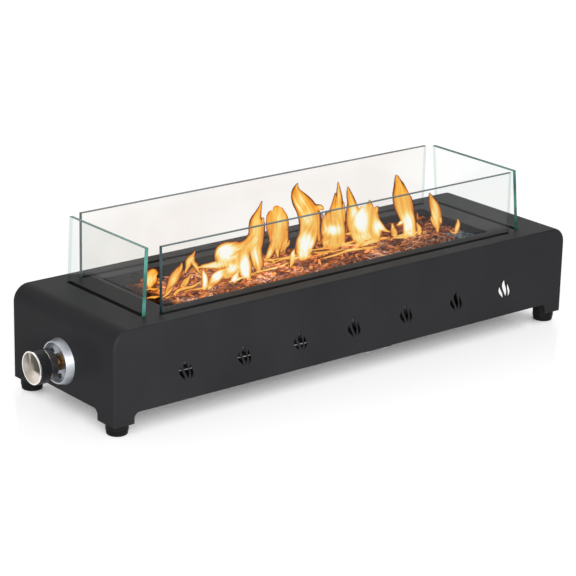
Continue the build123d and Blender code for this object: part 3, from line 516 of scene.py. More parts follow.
def crushedGlass(name, look):
    # Crushed amber glass with a painted glow for the flames' light above: each chip has its own tone and
    # sharp faces, painted bright lines lie across them, and clear bluish chips lie among them along the front
    # and at its two ends
    material, tree = startMaterial(name)
    coords, own = objectCoords(tree), ownMark(tree, "ownTone")
    lines = stretched(tree, coords, look["stretch"])
    cloud = noise(tree, coords, look["cloudMm"] * mm, 3.0)
    flow = noise(tree, lines, look["flowMm"] * mm, 3.0, distortion=0.6)
    mixed = maths(tree, "MULTIPLY", own, look["ownShare"])
    for pattern, share in ((cloud, look["cloudShare"]), (flow, look["flowShare"])):
        mixed = maths(tree, "MULTIPLY_ADD", pattern, share, mixed)
    tone = ramp(tree, mixed, *look["tones"])
    # Clear chips: some along the front, and all at the front of the two ends
    parts = split(tree, coords)
    fromMiddle = maths(tree, "SUBTRACT", parts["X"], middle)
    ragged = maths(tree, "MULTIPLY_ADD", own, look["clearRagged"] * mm, maths(tree, "ABSOLUTE", fromMiddle))
    ends = between(tree, ragged, look["clearFrom"] * mm, look["clearFull"] * mm)
    endFront = maths(tree, "LESS_THAN", parts["Y"], -look["clearEndFront"] * mm)
    seldom = maths(tree, "GREATER_THAN", own, 1 - look["clearShare"])
    front = maths(tree, "LESS_THAN", parts["Y"], -look["clearFront"] * mm)
    isClear = maths(tree, "MAXIMUM", maths(tree, "MULTIPLY", ends, endFront),
                    maths(tree, "MULTIPLY", seldom, front))
    body = mixColours(tree, isClear, tone, ramp(tree, flow, *look["clearTones"]))
    # Painted highlights: bright lines where a chip's edge would catch the flames
    paintedGlint = noise(tree, lines, look["glintMm"] * mm, 2.0, distortion=1.2)
    ridge = maths(tree, "ABSOLUTE", maths(tree, "SUBTRACT", paintedGlint, 0.5))
    line = between(tree, ridge, look["lineWide"], 0.0)
    paintedGlintMask = maths(tree, "MULTIPLY", line, between(tree, cloud, *look["glintWhere"]))
    colour = mixColours(tree, paintedGlintMask, body, linear(look["paintedGlint"]))
    # Painted light from the flames, laid on as a glow: most where they stand thickest, less towards the ends
    # and the two long sides
    fromBrightest = maths(tree, "ABSOLUTE", maths(tree, "SUBTRACT", fromMiddle, look["hottest"] * mm))
    flameLightNear, flameLightFar = look["flameLightReach"]
    brightness = between(tree, fromBrightest, flameLightFar * mm, flameLightNear * mm, look["glowEnds"], look["glow"])
    aboutBurner = maths(tree, "ABSOLUTE", maths(tree, "SUBTRACT", parts["Y"], look["burnerLine"] * mm))
    burnerNear, burnerFar = look["burnerReach"]
    nearFlames = between(tree, aboutBurner, burnerNear * mm, burnerFar * mm, 1.0, look["glowSides"])
    paintedFlameLight = maths(tree, "MULTIPLY", maths(tree, "MULTIPLY", brightness, nearFlames), mixed)
    # The glass at the two ends lies in the pan's shade, and the right half is dimmer than the left
    shade = None
    for start, end, dimmed in look["shades"]:
        part = between(tree, fromMiddle, start * mm, end * mm, 1.0, dimmed)
        shade = part if shade is None else maths(tree, "MULTIPLY", shade, part)
    shadedTone = mixColours(tree, 1.0, colour, shade, "MULTIPLY")
    shader = addNode(tree, "ShaderNodeBsdfPrincipled", {
        "IOR": 1.5,
        "Roughness": look["roughness"],
        "Specular IOR Level": maths(tree, "MULTIPLY", shade, look["gloss"]),
        "Base Color": shadedTone,
        "Emission Color": shadedTone,
        "Emission Strength": paintedFlameLight,
    })
    return finishMaterial(material, shader)


amberLook = {
    "tones": ((0.45, "#240e06"), (0.64, "#733610"), (0.78, "#a9561c"), (0.9, "#ea9640")),
    "stretch": (0.3, 1, 1),
    "cloudMm": 34,
    "flowMm": 4.5,
    "ownShare": 0.24,  # what a chip's own tone, the clouds and the streaks add to where it lies in the tones
    "cloudShare": 0.5,
    "flowShare": 0.62,
    # Painted highlights: their colour, the size of their pattern and where in the clouds they show
    "paintedGlint": "#ffe9d4",
    "glintMm": 7,
    "glintWhere": (0.5, 0.68),
    "lineWide": 0.045,
    "clearTones": ((0.4, "#2d5360"), (0.65, "#a9c0cd")),
    "clearFrom": 236,  # mm from the casing's middle where they start and fill the bed's end, and how raggedly
    "clearFull": 241,
    "clearRagged": 26,
    "clearEndFront": 16,  # mm in front of the middle
    "clearFront": 34,
    "clearShare": 0.05,
    # Painted flame light: how strongly the glass glows with it in the middle, at the ends and at the long
    # sides
    "glow": 1.15,
    "glowEnds": 0.2,
    "glowSides": 0.35,
    "hottest": -70,  # mm from the middle where the painted flame light is brightest, and the reach over which it falls
    "flameLightReach": (150, 250),
    "burnerLine": 12,
    "burnerReach": (12, 55),
    "shades": ((-204, -216, 0.1), (242, 252, 0.25), (60, 140, 0.85)),  # from and to, mm, and what is left
    "gloss": 0.1,
    "roughness": 0.16,
}
amber = crushedGlass("crushedGlassAmber", amberLook)
chipPlan = {
    "density": 90000.0,
    "upward": 0.4,  # least upward part of the bed's normal where chips lie
    "turns": ((-0.4, -0.4, -1.1), (0.4, 0.4, 1.1)),
    "stretches": ((1.1, 0.4, 0.25), (2.0, 0.75, 0.5)),
}


def chipTree(plan):
    tree = bpy.data.node_groups.new("heapChips", "GeometryNodeTree")
    for label, kind, value in (
        ("Bed", "NodeSocketGeometry", None),
        ("Chip Size", "NodeSocketFloat", 0.008),
        ("Spacing", "NodeSocketFloat", 0.005),
        ("Pile", "NodeSocketFloat", 0.003),
        ("Seed", "NodeSocketInt", 1),
        ("Finish", "NodeSocketMaterial", None),
    ):
        socket = tree.interface.new_socket(label, in_out="INPUT", socket_type=kind)
        if value is not None:
            socket.default_value = value
    tree.interface.new_socket("Chips", in_out="OUTPUT", socket_type="NodeSocketGeometry")
    given = addNode(tree, "NodeGroupInput").outputs
    parts = split(tree, addNode(tree, "GeometryNodeInputNormal"))
    upward = addNode(tree, "FunctionNodeCompare", {
        "data_type": "FLOAT", "operation": "GREATER_THAN", 0: parts["Z"], 1: plan["upward"]})
    scattered = addNode(tree, "GeometryNodeDistributePointsOnFaces", {
        "distribute_method": "POISSON", "Density Max": plan["density"], "Mesh": given["Bed"],
        "Selection": upward, "Distance Min": given["Spacing"], "Seed": given["Seed"]})
    lift = addNode(tree, "FunctionNodeRandomValue", {
        "data_type": "FLOAT", 3: given["Pile"], "Seed": given["Seed"]})
    height = addNode(tree, "ShaderNodeCombineXYZ", {"Z": lift.outputs[1]})
    settled = addNode(tree, "GeometryNodeSetPosition", {
        "Geometry": scattered.outputs["Points"], "Offset": height})
    chip = addNode(tree, "GeometryNodeMeshIcoSphere", {"Radius": 0.5, "Subdivisions": 1})
    turn, stretch = (addNode(tree, "FunctionNodeRandomValue", {
        "data_type": "FLOAT_VECTOR", 0: low, 1: high, "Seed": given["Seed"]})
        for low, high in (plan["turns"], plan["stretches"]))
    scaled = addNode(tree, "ShaderNodeVectorMath", {
        "operation": "SCALE", 0: stretch, "Scale": given["Chip Size"]})
    chips = addNode(tree, "GeometryNodeInstanceOnPoints", {
        "Points": settled, "Instance": chip.outputs["Mesh"], "Rotation": turn, "Scale": scaled})
    tone = addNode(tree, "FunctionNodeRandomValue", {"data_type": "FLOAT", "Seed": given["Seed"]})
    toned = addNode(tree, "GeometryNodeStoreNamedAttribute", {
        "data_type": "FLOAT", "domain": "INSTANCE", "Name": "ownTone", "Geometry": chips,
        "Value": tone.outputs[1]})
    real = addNode(tree, "GeometryNodeRealizeInstances", {0: toned})
    joined = addNode(tree, "GeometryNodeJoinGeometry", {0: real})
    tree.links.new(given["Bed"], joined.inputs[0])
    finished = addNode(tree, "GeometryNodeSetMaterial", {"Geometry": joined, "Material": given["Finish"]})
    addNode(tree, "NodeGroupOutput", {0: finished})
    return tree


def applyTree(piece, tree, values):
    modifier = piece.modifiers.new("build", "NODES")
    modifier.node_group = tree
    for item in tree.interface.items_tree:
        if item.in_out == "INPUT" and item.name in values:
            modifier[item.identifier] = values[item.name]
    bpy.context.view_layer.update()
    plain = bpy.data.meshes.new_from_object(piece.evaluated_get(bpy.context.evaluated_depsgraph_get()))
    piece.modifiers.remove(modifier)
    piece.data = plain
    plain.name = piece.name
    return piece


fireGlass = applyTree(addObject("fireGlass", bedMesh), chipTree(chipPlan), {
    "Chip Size": bedPlan["chipMm"] * mm,
    "Spacing": bedPlan["spacingMm"] * mm,
    "Pile": bedPlan["pileMm"] * mm,
    "Seed": bedPlan["seed"],
    "Finish": amber,
})
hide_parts("fire_glass_bed")
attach(fireGlass, "casing")
print("fire glass scattered:", len(fireGlass.data.polygons), "faces")

# Flames: each is a leaf of hot gas, given by how far back it stands (y, mm) and the points up its spine: x
# and z there, and half its width, in mm
flamePlan = {
    "blob": (41, [(-200, 112, 2.4), (-200, 116, 6.4), (-198, 121, 8.4), (-195, 126, 7.4), (-190, 128, 2.4)]),
    "leaf": (13, [(-196, 111, 1.0), (-190, 120, 3.7), (-184, 127, 5.7), (-178, 134, 4.7), (-174, 139, 2.3),
        (-173, 143, 0.5)]),
    "leafLow": (0, [(-211, 111, 0.7), (-205, 114, 1.7), (-199, 118, 2.0), (-196, 121, 0.7)]),
    "tongue": (50, [(-140, 116, 1.5), (-137, 122, 2.7), (-135, 128, 4.5), (-131, 132, 4.2), (-128, 136, 1.8),
        (-126, 140, 0.4)]),
    "tail": (44, [(-121, 112, 0.6), (-126, 117, 1.8), (-129, 123, 2.5), (-133, 129, 2.7), (-134, 133, 1.5)]),
    "spark": (18, [(-168, 112, 3.0), (-164, 116, 4.1), (-160, 120, 2.4), (-156, 125, 0.5)]),
    "candle": (-4, [(-153, 111, 2.4), (-151, 118, 3.8), (-152, 126, 3.5), (-154, 133, 2.1),
        (-154, 137, 0.4)]),
    "flow": (0, [(-142, 111, 3.0), (-136, 117, 5.3), (-130, 121, 5.9), (-123, 126, 4.4), (-117, 129, 1.8)]),
    "arm": (50, [(-121, 118, 0.6), (-113, 118, 2.4), (-102, 117, 3.3), (-91, 116, 5.1), (-80, 117, 6.7),
        (-71, 121, 5.2), (-63, 124, 2.4)]),
    "billow": (0, [(-123, 135, 4.4), (-124, 143, 7.7), (-121, 150, 10.6), (-116, 152, 10.4), (-109, 153, 8.3),
        (-101, 154, 6.5)]),
    "link": (15, [(-106, 142, 6.0), (-93, 143, 9.0), (-81, 144, 9.3), (-74, 147, 7.8), (-67, 154, 6.6)]),
    "wing": (15, [(-105, 122, 1.5), (-98, 124, 3.6), (-92, 130, 3.6), (-89, 137, 2.7)]),
    "spire": (15, [(-56, 111, 3.3), (-57, 120, 6.6), (-60, 131, 6.9), (-62, 140, 8.4), (-60, 149, 9.3),
        (-60, 160, 9.6), (-60, 170, 9.3), (-61, 177, 6.3), (-58, 185, 3.3), (-55, 192, 1.5),
        (-53, 198, 0.4)]),
    "spireTip": (15, [(-52, 159, 3.3), (-51, 168, 2.4), (-51, 174, 1.4), (-50, 177, 0.5)]),
    "spireFoot": (-1, [(-86, 112, 5.1), (-88, 119, 7.5), (-91, 129, 8.9), (-92, 139, 7.7), (-90, 146, 5.4)]),
    "wedge": (-4, [(-114, 111, 1.2), (-109, 114, 3.6), (-106, 118, 3.9), (-102, 124, 2.1), (-99, 129, 0.6)]),
    "dome": (42, [(-5, 128, 7.1), (-6, 136, 9.8), (-6, 146, 12.6), (-6, 155, 13.5), (-7, 163, 12.6),
        (-7, 169, 10.1), (-7, 173, 6.7), (-8, 175, 3.4)]),
    "domeLeft": (42, [(-25, 111, 1.2), (-20, 116, 3.1), (-15, 123, 4.0), (-12, 131, 4.3), (-11, 139, 4.0)]),
    "domeMid": (42, [(-4, 112, 0.9), (-5, 119, 2.6), (-5, 127, 4.6), (-6, 136, 5.5)]),
    "domeRight": (50, [(7, 115, 0.8), (10, 121, 2.6), (13, 129, 3.7), (13, 139, 4.0)]),
    "domeCurl": (50, [(12, 114, 0.6), (14, 119, 1.9), (18, 123, 1.9), (20, 127, 0.5)]),
    "hook": (44, [(34, 109, 5.0), (44, 123, 10.6), (47, 138, 12.4), (47, 152, 13.4), (41, 166, 12.4),
        (31, 179, 10.1), (25, 189, 6.2), (24, 196, 2.5), (26, 201, 0.4)]),
    "hookSide": (44, [(43, 151, 7.8), (47, 159, 8.7), (51, 163, 6.2), (58, 164, 4.4), (64, 164, 2.8),
        (68, 161, 0.9)]),
    "hookFoot": (20, [(16, 112, 3.4), (18, 118, 8.3), (19, 128, 10.1), (22, 137, 10.4), (25, 145, 8.0),
        (29, 152, 5.2)]),
    "hookBack": (50, [(68, 119, 1.3), (66, 133, 2.8), (63, 145, 5.6), (61, 153, 6.2)]),
    "wick": (4, [(-15, 112, 1.2), (-13, 118, 3.3), (-12, 126, 3.0), (-10, 133, 0.6)]),
    "rise": (41, [(81, 107, 3.1), (84, 115, 10.7), (84, 124, 13.8), (82, 135, 14.4), (79, 144, 11.3),
        (77, 152, 5.6)]),
    "riseLeft": (41, [(70, 112, 1.3), (70, 120, 4.1), (73, 127, 5.3)]),
    "twin": (41, [(94, 127, 4.7), (93, 135, 6.9), (92, 143, 7.8), (91, 155, 6.9), (91, 167, 5.0),
        (91, 176, 3.3), (90, 185, 1.7), (89, 193, 0.3)]),
    "twinSide": (41, [(82, 149, 6.3), (83, 160, 4.1), (84, 169, 2.2), (85, 179, 0.5)]),
    "sliver": (41, [(101, 130, 0.9), (101, 142, 1.4), (100, 154, 1.4), (99, 165, 0.5)]),
    "blade": (46, [(127, 113, 6.3), (125, 125, 9.2), (122, 137, 9.8), (119, 149, 7.6), (117, 160, 5.2),
        (113, 171, 3.5), (111, 177, 1.9), (110, 182, 0.6)]),
    "crown": (29, [(133, 113, 14.2), (130, 123, 17.1), (128, 134, 16.4), (128, 142, 15.4), (130, 150, 12.0),
        (132, 157, 4.4), (132, 165, 0.6)]),
    "crownLeft": (29, [(120, 119, 9.5), (117, 131, 10.1), (116, 142, 8.2), (118, 151, 5.3), (120, 157, 1.6)]),
    "crownSide": (29, [(140, 127, 7.3), (140, 138, 6.0), (141, 147, 4.4), (144, 152, 2.2), (146, 155, 0.6)]),
    "sweep": (35, [(174, 115, 0.6), (167, 118, 1.9), (160, 123, 3.2), (152, 131, 4.8), (147, 138, 4.8)]),
    "reach": (50, [(111, 119, 0.6), (119, 119, 1.9), (129, 118, 2.9), (138, 117, 3.2)]),
    "bud": (20, [(168, 114, 3.5), (167, 120, 4.3), (165, 126, 2.5), (163, 132, 0.5)]),
    "plume": (10, [(187, 115, 6.4), (185, 125, 7.6), (182, 136, 8.6), (177, 146, 10.4), (172, 159, 11.7),
        (167, 171, 9.8), (164, 182, 6.6), (161, 190, 3.9), (159, 196, 1.9), (159, 198, 0.5)]),
    "plumeRight": (6, [(198, 115, 2.6), (198, 122, 3.5), (195, 127, 2.2), (193, 131, 0.6)]),
    "plumeLeft": (50, [(199, 116, 0.6), (203, 117, 2.1), (207, 119, 1.9), (210, 121, 0.6)]),
    "plumeFoot": (11, [(179, 114, 3.2), (180, 123, 4.1), (180, 131, 4.1)]),
    "feather": (-2, [(222, 116, 1.3), (222, 123, 3.2), (220, 132, 5.4), (218, 141, 6.4), (215, 150, 6.0),
        (210, 159, 4.1), (207, 166, 1.9), (205, 170, 0.5)]),
    "featherRight": (-2, [(228, 127, 0.6), (226, 131, 2.2), (222, 138, 2.9)]),
    "featherLeft": (8, [(229, 117, 0.6), (225, 123, 1.9), (221, 130, 1.9), (219, 134, 0.6)]),
    "last": (-22, [(233, 117, 1.0), (236, 121, 2.4), (238, 126, 2.7), (239, 131, 1.8), (237, 135, 0.5)]),
    "lastFoot": (-22, [(224, 123, 0.5), (228, 120, 1.3), (233, 117, 1.4), (238, 118, 0.6)]),
    "riseRight": (41, [(104, 106, 1.0), (98, 115, 4.0), (96, 124, 6.3), (94, 135, 6.9)]),
    "bridge": (15, [(-106, 114, 4.2), (-98, 121, 7.4), (-91, 129, 9.1), (-83, 136, 8.4)]),
}
# Thin flames that lie along the glass, given the same way
streakPlan = {
    "nearLeft": (-1, [(-212, 110, 0.7), (-203, 110, 1.8), (-195, 111, 2.2), (-188, 116, 2.0),
        (-177, 117, 2.2), (-167, 117, 2.0), (-155, 121, 0.7)]),
    "shortLeft": (26, [(-215, 114, 0.5), (-210, 115, 1.3), (-204, 113, 1.5), (-197, 113, 0.5)]),
    "shortLower": (0, [(-232, 115, 0.5), (-228, 115, 1.3), (-221, 114, 1.5), (-215, 114, 0.5)]),
    "underLeft": (30, [(-101, 115, 0.6), (-94, 115, 1.4), (-86, 114, 1.4), (-78, 114, 0.6)]),
    "underMiddle": (11, [(-114, 114, 0.6), (-106, 114, 1.2), (-99, 114, 0.6)]),
    "curl": (32, [(-31, 114, 0.6), (-26, 115, 1.7), (-20, 113, 1.8), (-18, 108, 0.8)]),
    "nearMiddle": (31, [(-34, 115, 0.5), (-24, 115, 1.1), (-8, 114, 1.2), (8, 114, 1.1), (24, 113, 0.8)]),
    "middle": (30, [(41, 116, 0.5), (57, 115, 1.4), (72, 114, 1.2), (90, 114, 1.4), (108, 115, 1.4),
        (127, 116, 1.3), (152, 115, 0.5)]),
    "middleLow": (19, [(34, 117, 0.6), (44, 115, 1.9), (58, 114, 2.0), (72, 113, 1.2), (93, 111, 0.5)]),
    "pool": (16, [(93, 110, 0.9), (99, 113, 3.1), (105, 116, 4.1), (111, 120, 1.9)]),
    "right": (15, [(106, 115, 0.5), (118, 115, 1.3), (131, 117, 1.6), (148, 116, 1.4), (158, 115, 0.5)]),
    "farRight": (7, [(161, 119, 0.5), (176, 119, 1.3), (191, 118, 1.1), (209, 116, 1.0), (233, 114, 0.5)]),
    "lowRight": (14, [(138, 119, 0.6), (149, 116, 2.2), (160, 112, 0.8)]),
    "lineA": (28, [(35, 117, 0.5), (68, 116, 1.4), (101, 112, 1.5), (139, 107, 0.5)]),
    "lineB": (22, [(-37, 113, 0.5), (-12, 116, 1.3), (10, 114, 1.6), (42, 111, 1.5), (73, 111, 0.5)]),
    "lineC": (8, [(-85, 111, 0.5), (-59, 113, 1.4), (-33, 113, 1.5), (-13, 116, 0.5)]),
    "lineD": (7, [(151, 117, 0.5), (171, 116, 1.4), (202, 112, 0.5)]),
    "lineE": (-1, [(-124, 113, 0.5), (-107, 112, 1.5), (-88, 115, 1.4), (-69, 114, 0.5)]),
    "lineF": (3, [(28, 113, 0.5), (53, 114, 1.4), (82, 116, 1.6), (116, 112, 1.3), (142, 113, 0.5)]),
    "lineG": (-3, [(-193, 113, 0.5), (-173, 114, 1.4), (-152, 113, 1.4), (-137, 115, 0.5)]),
}
# Dim gas behind and between them
veilPlan = {
    "domeVeil": (56, [(10, 99, 7.8), (9, 109, 9.6), (9, 119, 9.6), (8, 127, 7.7)]),
    "hookVeil": (56, [(73, 109, 4.7), (73, 123, 5.3), (74, 138, 5.3), (74, 148, 4.1)]),
    "riseVeil": (56, [(90, 104, 4.7), (90, 112, 5.4), (91, 119, 4.7)]),
    "plumeVeil": (56, [(241, 106, 2.0), (241, 113, 2.6), (240, 119, 2.0), (239, 124, 0.7)]),
    "leftVeil": (56, [(-129, 109, 6.0), (-123, 114, 6.0), (-119, 120, 3.0)]),
    "wingVeil": (56, [(-79, 99, 2.4), (-72, 100, 3.4), (-60, 100, 3.1)]),
    "crownVeil": (56, [(180, 101, 3.2), (186, 103, 3.9), (197, 105, 2.3)]),
    "twinVeil": (56, [(119, 109, 1.9), (118, 119, 2.2), (116, 129, 1.9)]),
}
# White-hot places: x, y and z, half the width and height, all in mm, and how hot each is
corePlan = {
    "billow": (-118, 0, 150, 10.6, 10.1, 1.0),
    "flow": (-134, 0, 126, 9.5, 7.7, 1.0),
    "candle": (-151, -4, 124, 3.8, 10.6, 0.95),
    "arm": (-100, 50, 118, 16.9, 4.8, 0.6),
    "wedge": (-107, -4, 116, 5.9, 5.9, 0.95),
    "spireFoot": (-89, -1, 127, 7.2, 13.1, 1.0),
    "spireBase": (-60, 15, 131, 6.0, 10.9, 0.55),
    "spire": (-62, 15, 162, 4.8, 19.2, 0.25),
    "hookFoot": (22, 20, 131, 8.0, 13.5, 0.95),
    "hookFootLow": (18, 20, 118, 7.4, 6.2, 0.6),
    "hook": (46, 44, 153, 6.2, 11.2, 0.5),
    "rise": (83, 41, 132, 10.0, 5.6, 0.75),
    "crown": (118, 29, 143, 8.2, 13.8, 1.05),
    "crownLow": (116, 29, 119, 13.9, 6.3, 0.35),
    "sweep": (155, 35, 125, 7.6, 7.6, 0.7),
    "plume": (181, 10, 132, 7.0, 11.4, 0.85),
    "plumeLow": (187, 10, 118, 8.9, 6.4, 0.4),
    "plumeLeft": (206, 50, 118, 3.9, 3.9, 0.6),
    "feather": (216, -2, 145, 3.6, 15.3, 0.4),
    "last": (237, -22, 126, 3.1, 6.4, 0.35),
    "leaf": (-184, 13, 124, 4.7, 9.4, 0.4),
    "blob": (-199, 41, 120, 5.9, 5.9, 0.3),
    "domeLeg": (-17, 42, 121, 3.7, 8.6, 0.45),
    "dome": (-5, 42, 163, 9.8, 12.3, 0.12),
    "wick": (-11, 4, 124, 2.9, 7.3, 0.45),
    "tongue": (-133, 50, 128, 3.6, 7.2, 0.25),
    "hookHead": (31, 44, 175, 5.6, 9.9, 0.35),
    "twin": (94, 41, 150, 3.8, 10.0, 0.2),
    "blade": (123, 46, 145, 5.1, 11.4, 0.6),
    "bridge": (-97, 15, 122, 7.2, 6.0, 0.75),
    "lineA": (101, 28, 112, 11.3, 3.1, 0.35),
    "lineB": (10, 22, 114, 11.1, 3.1, 0.35),
    "lineC": (-33, 8, 113, 10.9, 3.0, 0.35),
    "lineD": (171, 7, 116, 11.4, 3.2, 0.35),
    "lineE": (-88, -1, 115, 10.8, 3.0, 0.35),
    "lineF": (82, 3, 116, 11.2, 3.1, 0.35),
    "lineG": (-152, -3, 113, 10.6, 2.9, 0.35),
}
gasLook = {
    "streaks": (2.6, 1.6, 9.0),
    "wander": 1.0,
    "body": 0.47,
    "edgeMm": 5.0,  # how deep the cooler edge reaches, and the most of a leaf's half width it may take
    "edgeShare": 0.85,
    "edge": 0.6,
    "edgeCurve": 2.2,
    "core": 0.62,
    "coreFall": 0.8,
    "coreCurve": 1.3,
    "thick": 0.98,
    "fadeMm": (-1.0, 0.35),  # from the fire's outline, where the gas starts and is at its thickest
    # from the hottest gas to its rim
    "tones": ((0, "#fffef8"), (0.1, "#fff6d4"), (0.22, "#ffe7a0"), (0.36, "#fdcd66"), (0.52, "#f9ad46"),
              (0.7, "#e98c2e"), (0.86, "#b5651f"), (1, "#54290f")),
}
flameLook = {
    "sides": 32,
    "stepMm": 1.7,
    "outlineStepMm": 0.9,
    "depth": 0.4,  # front to back against side to side
    "facing": -39.4,  # degrees round from the front that the leaves turn to, so that they are seen broadside
    "haloMm": 1.3,  # how far the fading edge reaches out past a leaf's own width
    "roundEnd": (0.35, 0.65, 0.85, 0.97),  # shares of the width at which a leaf's end rings lie
    "smallEnd": (0.6,),
    "smallMm": 2.2,
    "bend": 0.03,  # share of a spine's length, either way, by which its heading is told
    "across": 10,  # mm to one unit of the streaks' pattern
    "kind": 0.37,  # how far apart two leaves lie in it
    "batches": 40,
    "highest": 0.2046,  # metres, just under the tops of the panes
}
flameMarks = ("inside", "cooling", "whiteHot", "across", "rise", "kind")
broadside = math.radians(flameLook["facing"])
sideways = Vector((math.cos(broadside), math.sin(broadside), 0))
backwards = Vector((-math.sin(broadside), math.cos(broadside), 0))


def alongSpine(points, share):
    reach = share * (len(points) - 1)
    i = min(int(reach), len(points) - 2)
    t = reach - i
    p = [points[max(0, min(len(points) - 1, i + k))] for k in (-1, 0, 1, 2)]
    return [
        0.5 * (2 * b + (c - a) * t + (2 * a - 5 * b + 4 * c - d) * t * t + (3 * b - a - 3 * c + d) * t ** 3)
        for a, b, c, d in zip(*p)
    ]


def spineAt(y, points, share):
    x, z, half = alongSpine(points, share)
    return Vector((middle + x * mm, y * mm, z * mm)), max(0.25, half)


def stepsAlong(points, stepMm):
    return max(6, round(sum(math.dist(a[:2], b[:2]) for a, b in zip(points, points[1:])) / stepMm))


def flameLeaf(y, points, number, corners, faces, marks):
    # Rings up the spine, with a round end below the first and above the last
    count, steps, first = flameLook["sides"], stepsAlong(points, flameLook["stepMm"]), len(corners)
    rings = []
    for step in range(steps + 1):
        share = step / steps
        spine, half = spineAt(y, points, share)
        before = spineAt(y, points, max(0, share - flameLook["bend"]))[0]
        after = spineAt(y, points, min(1, share + flameLook["bend"]))[0]
        rings.append((spine, half + flameLook["haloMm"], (after - before).normalized(), share))
    for end, side in ((rings[0], -1), (rings[-1], 1)):
        spine, half, heading, share = end
        for out in flameLook["roundEnd"] if half > flameLook["smallMm"] else flameLook["smallEnd"]:
            ring = (spine + heading * side * out * half * mm, half * math.sqrt(1 - out ** 2), heading, share)
            rings.insert(0 if side < 0 else len(rings), ring)
    for spine, half, heading, share in rings:
        lean = math.atan2(heading.dot(sideways), heading.z)
        across = sideways * math.cos(lean) - Vector((0, 0, math.sin(lean)))
        for k in range(count):
            angle = 2 * math.pi * k / count
            outwards = across * math.cos(angle) + backwards * flameLook["depth"] * math.sin(angle)
            corner = spine + outwards * half * mm
            corner.z = min(corner.z, flameLook["highest"])
            corners.append(corner)
            marks.append((math.cos(angle) * half / flameLook["across"], share, number * flameLook["kind"]))
    for step in range(len(rings) - 1):
        for k in range(count):
            low, ahead = first + step * count, (k + 1) % count
            faces.append((low + k, low + ahead, low + count + ahead, low + count + k))
    faces.append([first + k for k in reversed(range(count))])
    faces.append([first + (len(rings) - 1) * count + k for k in range(count)])


def inPicture(points):
    # Where points fall in the view from the front left, in mm at the casing's middle
    away = np.array(points) - np.array(place)
    flat = np.stack([away @ np.array(rolledRight), away @ np.array(rolledUp)], axis=1)
    return flat / -(away @ np.array(back))[:, None] * cameraPlan["distance"] / mm


def flameMesh(name, plan):
    corners, faces, marks = [], [], []
    for number, (y, points) in enumerate(plan.values()):
        flameLeaf(y, points, number, corners, faces, marks)
    corners = [tuple(corner) for corner in corners]
    mesh = bpy.data.meshes.new(name)
    mesh.from_pydata(corners, [], faces)
    # How deep in the fire each corner lies: in mm from the fire's outline, so that leaves that overlap read
    # as one, and as a share of the depth at which the gas there is hottest
    samples, halves = [], []
    for y, points in plan.values():
        steps = stepsAlong(points, flameLook["outlineStepMm"])
        for step in range(steps + 1):
            spine, half = spineAt(y, points, step / steps)
            samples.append(tuple(spine))
            halves.append(half)
    seen, samples, halves = inPicture(corners), inPicture(samples), np.array(halves)
    inside, deepest = [], []
    for part in np.array_split(seen, flameLook["batches"]):
        depths = halves[None, :] - np.hypot(*(part[:, None, :] - samples[None, :, :]).transpose(2, 0, 1))
        inside.extend(depths.max(axis=1))
        deepest.extend(halves[depths.argmax(axis=1)])
    inside = np.array(inside)
    hotFrom = np.minimum(gasLook["edgeMm"], gasLook["edgeShare"] * np.array(deepest))
    cooling = 1 - np.clip(inside / hotFrom, 0, 1)
    brightness = np.zeros(len(seen))
    for x, y, z, wide, tall, strength in corePlan.values():
        spot = inPicture([(middle + x * mm, y * mm, z * mm)])[0]
        near = ((seen[:, 0] - spot[0]) / wide) ** 2 + ((seen[:, 1] - spot[1]) / tall) ** 2
        brightness = np.maximum(brightness, strength * np.exp(-gasLook["coreFall"] * near ** gasLook["coreCurve"]))
    across, rise, kind = np.array(marks).T
    for label, values in zip(flameMarks, (inside, cooling, brightness, across, rise, kind)):
        mesh.attributes.new(label, "FLOAT", "POINT").data.foreach_set("value", values.astype(np.float32))
    for polygon in mesh.polygons:
        polygon.use_smooth = True
    shape = bmesh.new()
    shape.from_mesh(mesh)
    bmesh.ops.recalc_face_normals(shape, faces=shape.faces)
    shape.to_mesh(mesh)
    shape.free()
    return mesh


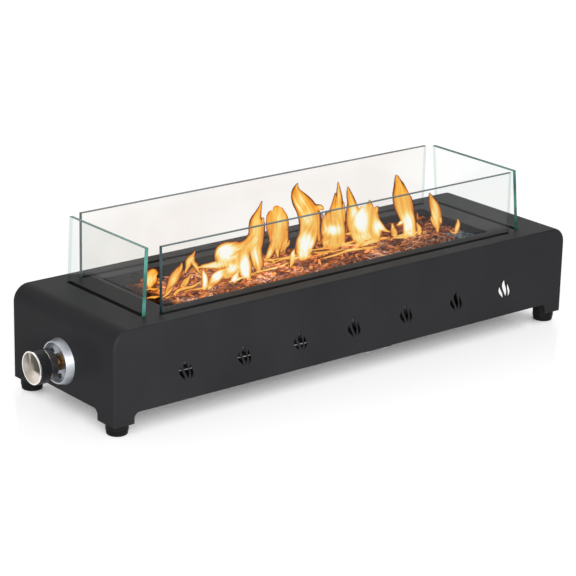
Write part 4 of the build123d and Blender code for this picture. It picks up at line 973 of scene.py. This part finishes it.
def hotGas(name, look):
    # Burning propane: a light, not a surface. White-hot in its cores, yellow round them, orange and brown at
    # its rim
    material, tree = startMaterial(name)
    inside, cooling, brightness, across, rise, kind = (ownMark(tree, label) for label in flameMarks)
    # Streaks that run up each flame
    grid = addNode(tree, "ShaderNodeCombineXYZ", {"X": across, "Y": rise, "Z": kind})
    streak = noise(tree, stretched(tree, grid, look["streaks"]), 1.0, 2.5, 0.6, 0.5)
    wander = maths(tree, "MULTIPLY_ADD", streak, look["wander"], look["body"] - look["wander"] / 2)
    # Cooler towards the outline, hotter in the cores
    edgeFall = maths(tree, "POWER", cooling, look["edgeCurve"])
    cooler = maths(tree, "MULTIPLY_ADD", edgeFall, look["edge"], wander)
    tone = ramp(tree, maths(tree, "MULTIPLY_ADD", brightness, -look["core"], cooler), *look["tones"])
    light = addNode(tree, "ShaderNodeEmission", {"Strength": 1.0, "Color": tone})
    clear = addNode(tree, "ShaderNodeBsdfTransparent")
    fade = between(tree, inside, *look["fadeMm"], 0.0, look["thick"], "SMOOTHSTEP")
    return finishMaterial(material, mixShaders(tree, fade, clear, light))


veilLook = {**gasLook, "body": 0.72, "thick": 0.55, "wander": 0.3, "core": 0.0}
for name, plan, material, look in (
    ("flames", {**flamePlan, **streakPlan}, "burningPropane", gasLook),
    ("flameVeils", veilPlan, "thinBurningPropane", veilLook),
):
    piece = addObject(name, flameMesh(name, plan))
    piece.data.materials.append(hotGas(material, look))
    piece.visible_shadow = False
    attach(piece, "casing")
    print(name, "lit:", len(piece.data.polygons), "faces")

# Warm light from the flames onto the pan and the fire glass
fireLight = {"places": ((-100, 10, 140), (-30, 12, 150), (90, 15, 150), (190, 15, 140)), "watts": 0.03,
             "colour": "#ff8a3c", "radiusMm": 18}
for number, (x, y, z) in enumerate(fireLight["places"]):
    lamp = addLamp(f"fireLight{number}", "POINT", (middle + x * mm, y * mm, z * mm), fireLight["watts"],
                   fireLight["colour"])
    lamp.data.shadow_soft_size = fireLight["radiusMm"] * mm
    lamp.visible_glossy = False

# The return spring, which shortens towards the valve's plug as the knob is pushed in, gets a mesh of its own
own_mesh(nodes["valve_spring"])
